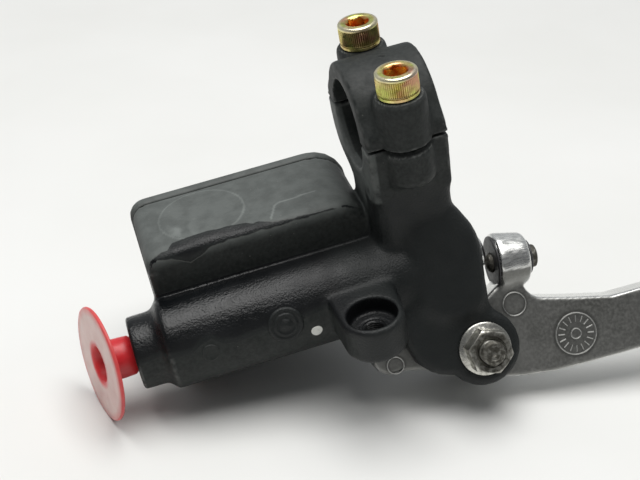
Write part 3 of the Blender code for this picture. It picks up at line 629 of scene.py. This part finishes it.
def oil_film(points):
    """Distance in millimetres inside the oil film, negative where the paint is dry; across the neck and fork the
    film is partly painted shade.
    """
    x, y, z = points.T
    tube = z - np.interp(x, *zip(*FILM_ON_TUBE))
    wall = np.interp(x, *zip(*FILM_ON_WALL)) - y
    film = np.where(z > TUB_REAR_Z - 1.2, wall, tube)
    under = z - np.interp(x, *zip(*FILM_UNDER_TUB))
    film = np.where((y < TUB_FLOOR_Y + 0.8) & (z < TUB_REAR_Z - 0.6) & (z > BORE_Z + 11.5), under, film)
    film = np.where(y > TUB_FLOOR_Y + 1.5, np.where(z > TUB_REAR_Z - 1.2, wall, -2.0), film)
    film = np.minimum(film, 2.4 - (x + 30.0) * 0.13)
    # Painted shade: a thin film over the neck and fork darkens the paint lower down along Z; partly oily paint.
    greasy_and_shaded = window(x, -22.0, 30.0, 5.0) * (1.0 - step_up(z, -24.0, -9.0)) - 0.2
    greasy_and_shaded = np.where((x < -8.0) & (y > TUB_FLOOR_Y - 0.3), FAR_OUTSIDE, greasy_and_shaded)
    inside = (np.hypot(x - SWITCH.x, y - SWITCH.y) < 6.6) & (z < SWITCH.z - 0.6) & (z > SWITCH.z - 10.0)
    return np.where(inside, 2.5, np.maximum(film, np.where(x > -24.0, greasy_and_shaded, FAR_OUTSIDE)))


def line_through(points, path, width):
    """1 on a line drawn through (x, y) corners, 0 a width away from it."""
    flat = points[:, :2]
    nearest = np.full(len(points), 1e3)
    for start, end in zip(path, path[1:]):
        start, along = np.array(start), np.array(end) - np.array(start)
        share = np.clip((flat - start) @ along / (along @ along), 0.0, 1.0)
        nearest = np.minimum(nearest, np.linalg.norm(flat - start - share[:, None] * along, axis=1))
    return np.clip(1.6 - nearest / width, 0.0, 1.0)


def pale_marks_and_light(points):
    """Pale marks on the reservoir's rear wall, some of them painted light: its round sight boss and a dried tide
    line.
    """
    x, y, z = points.T
    reach = np.hypot(x - SIGHT[0], y - SIGHT[1])
    # Painted highlight: a thin pale ring along the edge of the sight boss.
    ring = np.clip(1.6 - np.abs(reach - 10.7) / 0.3, 0.0, 1.0) * 0.75
    patch = window(x, -57.5, -50.5, 2.0) * window(y, -5.0, 5.0, 2.0)
    patch *= step_up(scattered(points, 3.5), -0.25, 0.1)
    disc = (reach < 10.4) * (0.46 + 0.3 * patch)
    tide = line_through(points, TIDE_LINE, 0.28) * 0.85
    # Even pale share on the up-facing wall, more towards the left end: partly dust, partly painted light.
    pale_layer = 0.40 + 0.10 * step_up(-x, 20.0, 60.0)
    return np.maximum(np.maximum(ring, disc), np.maximum(tide, pale_layer)) * step_up(z, -20.5, -17.2) * (x < -8.0)


def cast_body():
    """Body casting with the fillets that its CAD solid leaves out."""
    skin = Skin("body_casting", BODY_VOXEL)
    x, y, z = skin.points.T
    u, v, h = lever_coordinates(skin.points)
    precise = np.hypot(y, z) < 12.0
    precise |= (np.abs(z) < 1.3) | (np.hypot(y - BORE_Y, z - BORE_Z) < 8.3) | (x < -72.7)
    precise |= (np.hypot(x - SWITCH.x, y - SWITCH.y) < 6.8) & (z > SWITCH.z - 10.0)
    precise |= (np.abs(h) < 5.7) & (v < 14.5) & (u > -20.0)
    precise |= (y > RIM_Y - 2.0) & (x < -7.0) & (z < TUB_REAR_Z + 0.6)
    free = np.where(precise, 0.0, 1.0)
    neck = free * window(x, -15.0, 16.0) * window(z, -54.0, -9.5) * window(y, -40.0, -5.0)
    elsewhere = free * (1.0 - neck)
    skin.smooth(2, 0.5)
    skin.fill(34, 0.65 * neck)
    skin.fill(12, 0.5 * elsewhere)
    skin.smooth(5, 0.5 * free)
    skin.smooth(12, 0.45 * neck)
    soft_edge = free * window(y, TUB_FLOOR_Y - 1.0, TUB_FLOOR_Y + 3.0, 1.5)
    soft_edge *= window(z, TUB_REAR_Z - 4.0, 9.0, 1.0)
    skin.smooth(40, 0.5 * soft_edge * (x < -12.0))
    body = skin.build("cast_body")
    set_attribute(body.data, "film", oil_film(skin.points))
    set_attribute(body.data, "edge_mask", skin.edge_mask() * (1.0 - neck))
    set_attribute(body.data, "shore", step_up(z, -24.0, -20.0) * (1.0 - step_up(x, -30.0, -24.0)))
    set_attribute(body.data, "pale_deposit_and_light", pale_marks_and_light(skin.points))
    return finish(body, HOUSING, "black_casting", "black_casting", "body_casting")


def carved(item, cutter):
    """The item with the cutter taken out of it."""
    step = item.modifiers.new("Carve", "BOOLEAN")
    step.operation = "DIFFERENCE"
    step.object = cutter
    bpy.context.view_layer.update()
    evaluated = item.evaluated_get(bpy.context.evaluated_depsgraph_get())
    mesh = bpy.data.meshes.new_from_object(evaluated)
    item.modifiers.clear()
    item.data = mesh
    bpy.data.objects.remove(cutter, do_unlink=True)
    return item


def clamp_cap_casting():
    skin = Skin("clamp_cap", SMALL_VOXEL)
    x, y, z = skin.points.T
    precise = (np.hypot(y, z) < 11.8) | (np.abs(z) < 1.2)
    precise |= (np.hypot(x, np.abs(y) - 14.9) < 5.6) & (z > 11.0)
    free = np.where(precise, 0.0, 1.0)
    skin.smooth(2, 0.5)
    skin.fill(46, 0.6 * free)
    skin.smooth(24, 0.5 * free)
    split = 1.0 - step_up(z, 0.3, 1.3)
    skin.points[:, 2] += split * 0.16 * (1.0 + scattered(skin.points, 1.7))
    cap = skin.build("cast_clamp_cap")
    set_attribute(cap.data, "film", np.full(len(skin.points), DRY))
    set_attribute(cap.data, "edge_mask", skin.edge_mask())
    place = Matrix.Translation(Vector((0.9, -0.4, 15.2)) * MM) @ Matrix.Rotation(math.radians(-26), 4, "Z")
    dash = revolve("dash", [(0, 0.5), (0.22, 0.5), (0.22, -0.5), (0, -0.5)], 12, Matrix.Identity(4))
    dash.data.transform(place @ Matrix.Diagonal((4.2, 1.0, 1.0, 1.0)))
    return finish(carved(cap, dash), HOUSING, "black_casting", "black_casting", "clamp_cap")


def lid_casting():
    """Reservoir lid with a short skirt that nearly closes the joint to the tub."""
    low, high = (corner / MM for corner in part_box("reservoir_lid"))
    skin = Skin("reservoir_lid", BODY_VOXEL)
    x, y, z = skin.points.T
    dx, dz = x - (low.x + high.x) / 2, z - (low.z + high.z) / 2
    # Radius of the corner that each point is nearest to
    corner = np.where(dx < 0, np.where(dz > 0, 4.4, 6.4), np.where(dz > 0, 9.9, 9.4))
    out_x = np.abs(dx) - (high.x - low.x) / 2 + corner
    out_z = np.abs(dz) - (high.z - low.z) / 2 + corner
    inset = np.hypot(np.maximum(out_x, 0), np.maximum(out_z, 0)) + np.minimum(np.maximum(out_x, out_z), 0)
    inset = corner - inset
    skirt = (inset < 1.0) & (y < low.y + 0.4)
    skin.smooth(1, 0.5)
    skin.points[skirt, 1] -= 0.4
    lid = skin.build("cast_lid")
    set_attribute(lid.data, "film", np.full(len(skin.points), DRY))
    set_attribute(lid.data, "edge_mask", skin.edge_mask() * 0.5)
    # Painted light, partly dust: the lid's up-facing side gets an even pale share like the rear wall.
    set_attribute(lid.data, "pale_deposit_and_light", 0.42 * step_up(z, -20.5, -17.2))
    return finish(lid, HOUSING, "black_casting", "black_casting", "reservoir_lid")


def lever_casting():
    """Lever with a bright machined edge and barrel, and matte cast faces."""
    skin = Skin("lever", LEVER_VOXEL)
    u, v, h = lever_coordinates(skin.points)
    skin.smooth(2, 0.5)
    barrel = window(u, 8.0, 21.0, 1.0) * step_up(v, 10.5, 12.0)
    face_edge = (np.abs(h) > 3.2) & (v < 11.0)
    skin.fill(26, 0.6 * (1.0 - 0.8 * face_edge))
    skin.smooth(12, 0.5 * np.maximum(barrel, 0.1))
    lever = skin.build("cast_lever")
    sideways = np.abs(skin.normals() @ np.array(PIVOT_AXIS))
    edge = 1.0 - step_up(sideways, 0.5, 0.9)
    barrel_axis = v - BARREL_V - (u - BARREL_U) * math.tan(BARREL_LEAN)
    barrel_face = window(u, 9.0, 20.5, 0.4) * step_up(barrel_axis, -1.9, -1.5)
    polish = np.maximum(edge * step_up(u, -4.0, 8.0), barrel_face)
    set_attribute(lever.data, "polish", np.maximum(polish, 0.35 * edge))
    dirt = np.zeros(len(u))
    for centre, radius in [(STAMP, 5.6)] + MARKS:
        reach = np.hypot(u - centre[0], v - centre[1])
        dirt = np.maximum(dirt, np.clip(1.7 - np.abs(reach - radius) / 0.45, 0.0, 1.0))
    dirt = np.maximum(dirt, 0.6 * (np.hypot(u - STAMP[0], v - STAMP[1]) < 5.0))
    set_attribute(lever.data, "grime", dirt * (h > 3.4))
    return finish(lever, LEVER, "cast_aluminium", "cast_aluminium", "lever")


# ---------------------------------------------------------------- relief marks

def raised_lines(name, paths, radius, matrix):
    """Thin round beads along paths in a plane, as one mesh."""
    shape = bmesh.new()
    for path, closed in paths:
        curve = bpy.data.curves.new(name, "CURVE")
        curve.dimensions = "3D"
        curve.bevel_depth = radius * MM
        curve.bevel_resolution = 2
        curve.use_fill_caps = not closed
        spline = curve.splines.new("POLY")
        spline.points.add(len(path) - 1)
        for point, (a, b) in zip(spline.points, path):
            point.co = (a * MM, b * MM, 0.0, 1.0)
        spline.use_cyclic_u = closed
        drawn = new_object(name + "_line", curve)
        bpy.context.view_layer.update()
        made = bpy.data.meshes.new_from_object(drawn.evaluated_get(bpy.context.evaluated_depsgraph_get()))
        shape.from_mesh(made)
        bpy.data.objects.remove(drawn, do_unlink=True)
    bmesh.ops.remove_doubles(shape, verts=shape.verts, dist=1e-7)
    mesh = bpy.data.meshes.new(name)
    shape.to_mesh(mesh)
    shape.free()
    return soften(new_object(name, mesh, matrix))


def circle(centre, radius, steps=48):
    turns = [math.tau * i / steps for i in range(steps)]
    return [(centre[0] + radius * math.cos(t), centre[1] + radius * math.sin(t)) for t in turns]


def lever_marks():
    """Moulding marks on the lever: plain circles, and a plain dial of ticks."""
    paths = [(circle(STAMP, 5.3), True), (circle(STAMP, 1.3, 24), True)]
    for i in range(16):
        angle = math.tau * (i + 0.5) / 16
        ends = [(STAMP[0] + r * math.cos(angle), STAMP[1] + r * math.sin(angle)) for r in (3.0, 4.7)]
        paths.append((ends, False))
    for centre, radius in MARKS:
        paths.append((circle(centre, radius), True))
    face = lever_frame() @ Matrix.Translation((0.0, 0.0, (FACE_HEIGHT - 0.05) * MM))
    marks = raised_lines("lever_marks", paths, 0.2, face)
    set_attribute(marks.data, "polish", np.full(len(marks.data.vertices), 0.4))
    return finish(marks, LEVER, "cast_aluminium", "cast_aluminium")


def on_tube(name, rings, segments, x, z, film, radius=TUBE_RADIUS):
    """A turned medallion laid on the cylinder, bent to its round surface."""
    swing = math.asin((z - BORE_Z) / radius)
    made = revolve(name, rings, segments, Matrix.Identity(4), sharp=60)
    points = points_of(made.data) / MM
    angle = swing + points[:, 1] / radius
    reach = radius + points[:, 2]
    y, height = BORE_Y - reach * np.cos(angle), BORE_Z + reach * np.sin(angle)
    places = np.stack((x + points[:, 0], y, height), axis=1)
    made.data.vertices.foreach_set("co", (places * MM).ravel())
    made.data.update()
    set_attribute(made.data, "film", np.full(len(places), film))
    return made


def tube_marks():
    """A plain round boss with two rings, a small ejector mark and a dot of paint."""
    rings = [(0.0, 0.34), (1.3, 0.32), (1.45, 0.14), (2.1, 0.14), (2.25, 0.36), (2.7, 0.36), (2.85, 0.16)]
    rings += [(3.3, 0.16), (3.5, 0.38), (4.0, 0.36), (4.35, 0.1), (4.4, -0.5), (0.0, -0.5)]
    boss = on_tube("plain_boss", rings, 64, -37.3, -35.2, 0.6)
    finish(boss, HOUSING, "black_casting", "black_casting")
    rings = [(0.0, 0.03), (1.55, 0.04), (1.7, 0.16), (1.95, 0.16), (2.15, -0.02), (2.15, -0.4), (0.0, -0.4)]
    ejector = on_tube("ejector_mark", rings, 48, -56.1, -36.5, DRY)
    finish(ejector, HOUSING, "black_casting", "black_casting")
    inner, outer = wavy(1.15), wavy(1.38)
    rings = [(0.0, 0.13), (inner, 0.12), (outer, 0.03), (outer, -0.2), (0.0, -0.2)]
    dot = on_tube("paint_dot", rings, 40, -30.4, -39.2, DRY)
    finish(dot, HOUSING, "black_casting", "white_paint")


def switch_thread():
    """Threaded lining of the switch boss's inner hole."""
    rings = [(2.96, -4.55), (2.96, -9.6)]
    rings += [(2.5 if i % 2 else 2.85, -9.6 + 0.3 * i) for i in range(17)]
    rings += [(3.6, -4.4), (3.6, -4.55)]
    made = revolve("switch_thread", rings, 48, Matrix.Translation(SWITCH * MM), closed=True, sharp=60)
    set_attribute(made.data, "film", np.full(len(made.data.vertices), 3.0))
    return finish(made, HOUSING, "black_casting", "black_casting")


# ---------------------------------------------------------------- fasteners

def thread(radius, depth, low, high, pitch=1.0):
    """Rings of a screw thread from high down to low, as functions of the angle."""
    rings = []
    rings_per_turn = 5
    steps = int((high - low) / pitch * rings_per_turn)
    for i in range(steps + 1):
        height = high - (high - low) * i / steps

        def reach(angle, height=height):
            phase = (height / pitch - angle / math.tau) % 1.0
            fade = min(1.0, (high - height) / pitch, (height - low) / pitch)
            return radius - depth * fade * np.abs(2.0 * phase - 1.0)

        rings.append((reach, height))
    return rings


def clamp_screw(number):
    """Socket cap screw with a knurled head, a groove above its rim and a rolled thread."""
    node = f"clamp_screw_{number}"
    low, high = (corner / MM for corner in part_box(node))
    head = (high.x - low.x) / 2
    seat = high.z - 6.0

    def knurl(angle):
        return head - 0.04 - 0.24 * (np.round(angle / math.tau * 120) % 2)

    socket = hexagon(2.5)
    rings = [(0.0, 2.4), (hexagon(2.3), 2.9), (socket, 3.0), (socket, 5.3)]
    rings += [(larger(socket, 2.45 + 0.16 * i), 5.35 + 0.15 * i) for i in range(5)]
    rings += [(3.3, 6.0), (3.9, 6.0)]
    rings += [(4.25 + 0.72 * math.sin(t), 5.28 + 0.72 * math.cos(t)) for t in (0.2, 0.5, 0.8, 1.1, 1.4)]
    rings += [(head - 0.04, 5.05), (knurl, 4.9), (knurl, 1.25), (head - 0.1, 1.15), (head - 0.3, 1.05)]
    rings += [(head - 0.3, 0.85), (head - 0.08, 0.75), (head - 0.06, 0.2), (head - 0.25, 0.0), (3.2, 0.0)]
    rings += [(2.98, -0.3), (2.98, -2.0)] + thread(2.98, 0.5, -19.2, -2.2) + [(2.3, -19.9), (0.0, -20.0)]
    place = Matrix.Translation(Vector(((low.x + high.x) / 2, (low.y + high.y) / 2, seat)) * MM)
    turn = Matrix.Rotation(math.radians(12 + 19 * number), 4, "Z")
    made = revolve(f"socket_screw_{number}", rings, 120, place @ turn, sharp=32)
    points = points_of(made.data) / MM
    reach = np.hypot(points[:, 0] - (low.x + high.x) / 2, points[:, 1] - (low.y + high.y) / 2)
    height = points[:, 2] - seat
    set_attribute(made.data, "inside", (height > 2.0) * (1.0 - step_up(reach, 2.75, 3.15)))
    # Top rim, which the paint makes pale: partly wear, partly a painted highlight.
    set_attribute(made.data, "edge_mask", step_up(height, 5.1, 5.6) * step_up(reach, 3.9, 4.4))
    # Knurl valleys and groove, which the paint darkens as painted shade.
    groove = (reach < head - 0.15) * (reach > 4.0) * (height > 0.1) * (height < 5.0)
    set_attribute(made.data, "groove", groove)
    return finish(made, HOUSING, "yellow_zinc", "yellow_zinc", node)


def pivot_nut():
    """Flange nut: a hexagon with chamfered corners above a thin sloping flange."""
    seat = 10.45
    bore = 3.1
    hexa = hexagon(5.0)
    rings = [(bore, seat + 0.5), (bore + 0.4, seat), (6.2, seat), (6.55, seat + 0.2), (6.55, seat + 0.85)]
    rings += [(larger(hexa, 6.4 - 0.34 * i), seat + 0.95 + 0.13 * i) for i in range(5)]
    rings += [(hexa, seat + 1.6), (hexa, seat + 5.35)]
    rings += [(smaller(hexa, 5.7 - 0.17 * i), seat + 5.45 + 0.13 * i) for i in range(5)]
    rings += [(4.85, seat + 6.05), (bore + 0.75, seat + 6.05), (bore, seat + 5.4)]
    place = lever_frame() @ Matrix.Rotation(math.radians(9), 4, "Z")
    made = revolve("flange_nut", rings, 96, place, closed=True, sharp=20)
    u, v, height = lever_coordinates(points_of(made.data) / MM)
    top = step_up(height, seat + 5.7, seat + 6.0) * (1.0 - 0.5 * step_up(np.hypot(u, v), 4.4, 5.2))
    set_attribute(made.data, "grime", 0.3 * step_up(height, seat + 1.2, seat + 1.6) + 0.45 * top)
    return finish(made, HOUSING, "plated_steel", "plated_steel", "pivot_nut")


def pivot_bolt():
    """Hexagon bolt whose threaded end, with its centre mark, stands out of the nut."""
    low = -14.45
    hexa = hexagon(5.0)
    rings = [(0.0, low + 0.25), (3.6, low + 0.25), (3.9, low + 0.02)]
    rings += [(smaller(hexa, 4.85 + 0.17 * i), low + 0.02 + 0.13 * i) for i in range(6)]
    rings += [(hexa, low + 0.9), (hexa, -10.75), (5.2, -10.5), (3.2, -10.45), (2.98, -10.2), (2.98, 8.0)]
    rings += thread(2.98, 0.45, 8.2, 18.0)[::-1]
    rings += [(2.9, 18.2), (2.6, 18.65), (2.3, 18.8), (1.75, 18.8)]
    rings += [(1.6, 18.6), (0.9, 18.55), (0.5, 18.1), (0.0, 17.8)]
    made = revolve("hex_bolt", rings, 72, lever_frame(), sharp=30)
    height = lever_coordinates(points_of(made.data) / MM)[2]
    set_attribute(made.data, "grime", 0.4 + 0.4 * step_up(height, 16.0, 18.0))
    return finish(made, HOUSING, "plated_steel", "plated_steel", "pivot_bolt")


def adjuster():
    """Adjuster screw, its friction washer and the dark sleeve inside the lever's barrel."""
    place = barrel_frame()
    rings = [(0.0, 11.1), (1.3, 11.1), (1.4, 11.3), (2.3, 11.3), (2.75, 11.05), (2.9, 10.7)]
    rings += [(2.9, 9.6), (2.45, 9.5)] + thread(2.48, 0.35, 1.4, 9.4, 0.8)
    rings += [(2.4, 0.6), (2.4, -0.6), (2.1, -1.1), (1.3, -1.5), (0.0, -1.68)]
    screw = revolve("adjuster_bolt", rings, 48, place, sharp=32)
    set_attribute(screw.data, "grime", np.full(len(screw.data.vertices), 0.9))
    finish(screw, LEVER, "plated_steel", "plated_steel", "adjuster_screw")
    profile = [(2.62, 9.45), (3.9, 9.55), (4.38, 9.35), (4.38, 8.92), (2.62, 8.92)]
    washer = revolve("friction_washer", rounded(profile + profile[:1], 0.25)[:-1], 64, place, closed=True)
    finish(washer, LEVER, "dark_plastic", "dark_plastic", "adjuster_washer")
    profile = [(5.0, 6.4), (5.0, 0.3), (6.4, 0.25), (6.75, 0.1), (6.7, -0.15), (6.3, -0.3), (5.3, -0.2)]
    profile += [(4.0, -0.3), (2.6, -0.25), (2.5, 0.5), (2.5, 6.4)]
    sleeve = revolve("barrel_sleeve", profile, 64, place, closed=True, sharp=50)
    finish(sleeve, LEVER, "dark_plastic", "dark_plastic", "barrel_bush")


# ---------------------------------------------------------------- plug and spring

def plug():
    """Soft plug: a hollow stem and a thin wide flange that leans forwards."""
    lean = math.tan(math.radians(17.0))

    def ring(radius, x, share):
        """A ring at x that leans by its share; the rim's rings have a small nick."""
        nick = 0.8 if radius > 14 else 0.0

        def edge(angle):
            return radius - nick * np.exp(-(((angle - 1.7) / 0.05) ** 2))

        def offset(angle):
            return x - share * lean * radius * (0.56 * np.cos(angle) + 0.83 * np.sin(angle))

        return (edge, offset)

    rings = [(0.0, -66.1), (3.4, -66.1), (3.9, -66.4), (4.2, -67.0)]
    rings += [(4.2 + 0.08 * (i % 2), -68.0 - 0.7 * i) for i in range(8)]
    rings += [(4.4, -73.9), (4.8, -74.3), (4.95, -76.5), (5.0, -78.6), (5.0, -79.0)]
    rings += [(5.12, -79.15), (5.12, -79.7)]
    rings += [ring(5.2, -80.4, 0.6), ring(5.5, -81.05, 1.0), ring(6.2, -81.3, 1.0)]
    rings += [ring(r, -81.3 - 0.01 * r, 1.0) for r in (8.0, 10.0, 12.0, 13.4)]
    rings += [ring(14.05, -81.5, 1.0), ring(14.25, -81.75, 1.0), ring(14.28, -82.0, 1.0)]
    rings += [ring(14.15, -82.3, 1.0), ring(13.8, -82.45, 1.0)]
    rings += [ring(r, -82.42, 1.0) for r in (12.0, 10.0, 8.0, 6.4)]
    rings += [ring(5.0, -82.4, 1.0), ring(4.6, -82.15, 1.0), ring(4.35, -81.4, 0.9), ring(4.2, -79.5, 0.3)]
    rings += [(4.15, -78.0), (4.12, -75.6), (3.8, -75.15), (0.0, -75.05)]
    made = revolve("port_plug", rings, 96, bore_frame(), sharp=50)
    points = points_of(made.data) / MM
    reach = np.hypot(points[:, 1] - BORE_Y, points[:, 2] - BORE_Z)
    thin = step_up(reach, 5.0, 5.8) * (1.0 - 0.9 * step_up(reach, 13.6, 13.95)) * (points[:, 0] < -76.0)
    set_attribute(made.data, "thin", thin)
    return finish(made, PLUG, "red_plastic", "red_plastic", "transport_plug")


def piston_spring():
    """Round wire spring with closed ends."""
    low, high = (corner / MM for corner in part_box("return_spring"))
    wire = 0.65
    coil = (high.y - low.y) / 2 - wire
    turns = 9.0
    start, end = low.x + wire, high.x - wire
    count = int(turns * 24)
    curve = bpy.data.curves.new("coil", "CURVE")
    curve.dimensions = "3D"
    curve.bevel_depth = wire * MM
    curve.bevel_resolution = 3
    curve.use_fill_caps = True
    spline = curve.splines.new("POLY")
    spline.points.add(count)
    for i, point in enumerate(spline.points):
        share = i / count
        closing = wire * 2.05
        middle = (share * turns - 1.0) / (turns - 2.0)
        along = start + closing + (end - start - 2 * closing) * min(1.0, max(0.0, middle))
        along += closing * (min(share * turns, 1.0) - 1.0) + closing * max(0.0, share * turns - turns + 1.0)
        angle = math.tau * turns * share
        y = (BORE_Y + coil * math.cos(angle)) * MM
        z = (BORE_Z + coil * math.sin(angle)) * MM
        point.co = (along * MM, y, z, 1.0)
    drawn = new_object("coil", curve)
    bpy.context.view_layer.update()
    mesh = bpy.data.meshes.new_from_object(drawn.evaluated_get(bpy.context.evaluated_depsgraph_get()))
    bpy.data.objects.remove(drawn, do_unlink=True)
    made = soften(new_object("piston_spring", mesh))
    finish(made, HOUSING, "spring_steel", "spring_steel", "return_spring")
    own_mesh(made)


def carried_over():
    """The other CAD nodes keep their shape and get a detailed material."""
    slots = {part["node"]: part["material_slot"] for part in frame["record"]["subparts"]}
    for name, item in frame["nodes"].items():
        item.data.materials.clear()
        look = "bright_metal" if name in ("piston", "piston_washer", "spring_seat") else slots[name]
        item.data.materials.append(looks[look])
        for attribute in ("grime", "polish", "film", "edge_mask"):
            share = np.full(len(item.data.vertices), CARRIED_SHARE)
            set_attribute(item.data, attribute, share)


# ---------------------------------------------------------------- stage

def lay_floor():
    """Pale sheet under the part, square to the direction that is up as it lies."""
    lowest = 1.0
    for item in frame["nodes"].values():
        lowest = min(lowest, float((points_of(item.data) @ np.array(UP)).min()))
    look = Look("pale_sheet", (0.8, 0.8, 0.79), 0.55)
    cloud = look.spread(look.noise(60.0, 4.0), 0.35, 0.65)
    look.paint(Base_Color=look.mix(cloud, (0.76, 0.76, 0.74), (0.80, 0.80, 0.785)))
    shape = bmesh.new()
    bmesh.ops.create_circle(shape, cap_ends=True, segments=96, radius=SHEET_RADIUS)
    mesh = bpy.data.meshes.new("pale_sheet")
    shape.to_mesh(mesh)
    shape.free()
    floor = new_object("pale_sheet", mesh)
    floor.matrix_world = frame_at(UP * ((lowest - SHEET_GAP) / MM), UP)
    mesh.materials.append(look.material)


def light_room():
    """One soft ceiling light and a pale room, brighter behind the part."""
    lamp = bpy.data.lights.new("ceiling", "AREA")
    lamp.shape = "SQUARE"
    lamp.size = LAMP_SIZE
    lamp.energy = LAMP_POWER
    lamp.color = (1.0, 0.995, 0.98)
    ceiling = bpy.data.objects.new("ceiling", lamp)
    bpy.context.scene.collection.objects.link(ceiling)
    direction = (UP + Vector((-0.05, 0.02, 0.0))).normalized()
    ceiling.location = direction * LAMP_DISTANCE
    ceiling.rotation_mode = "QUATERNION"
    ceiling.rotation_quaternion = direction.to_track_quat("Z", "Y")
    world = bpy.data.worlds.new("room")
    world.use_nodes = True
    bpy.context.scene.world = world
    tree = world.node_tree
    direction_of = tree.nodes.new("ShaderNodeTexCoord")
    split = tree.nodes.new("ShaderNodeSeparateXYZ")
    tree.links.new(direction_of.outputs["Generated"], split.inputs["Vector"])
    shade = tree.nodes.new("ShaderNodeMapRange")
    shade.inputs["From Min"].default_value = -0.6
    shade.inputs["From Max"].default_value = 0.7
    shade.inputs["To Min"].default_value = ROOM_IN_FRONT
    shade.inputs["To Max"].default_value = ROOM_BEHIND
    tree.links.new(split.outputs["Y"], shade.inputs["Value"])
    seen = tree.nodes.new("ShaderNodeLightPath")
    strength = tree.nodes.new("ShaderNodeMix")
    strength.data_type = "FLOAT"
    strength.inputs[3].default_value = BACKDROP
    tree.links.new(seen.outputs["Is Camera Ray"], strength.inputs["Factor"])
    tree.links.new(shade.outputs["Result"], strength.inputs[2])
    background = tree.nodes["Background"]
    background.inputs["Color"].default_value = (0.95, 0.98, 1.0, 1.0)
    tree.links.new(strength.outputs[0], background.inputs["Strength"])


def place_camera():
    camera = bpy.data.cameras.new("camera")
    camera.lens = CAMERA_LENS
    camera.sensor_width = SENSOR_WIDTH
    camera.clip_start = 0.01
    item = bpy.data.objects.new("camera", camera)
    bpy.context.scene.collection.objects.link(item)
    back = Vector(CAMERA_RIGHT).cross(Vector(CAMERA_UP)).normalized()
    up = back.cross(Vector(CAMERA_RIGHT)).normalized()
    right = up.cross(back)
    turn = Matrix((right, up, back)).transposed().to_4x4()
    item.matrix_world = Matrix.Translation(Vector(CAMERA_PLACE) * MM) @ turn
    bpy.context.scene.camera = item
    bpy.context.scene.view_settings.view_transform = "Standard"


looks = make_looks()
place_camera()
lay_floor()
light_room()
carried_over()
cast_body()
clamp_cap_casting()
lid_casting()
lever_casting()
lever_marks()
tube_marks()
switch_thread()
clamp_screw(1)
clamp_screw(2)
pivot_nut()
pivot_bolt()
adjuster()
plug()
piston_spring()
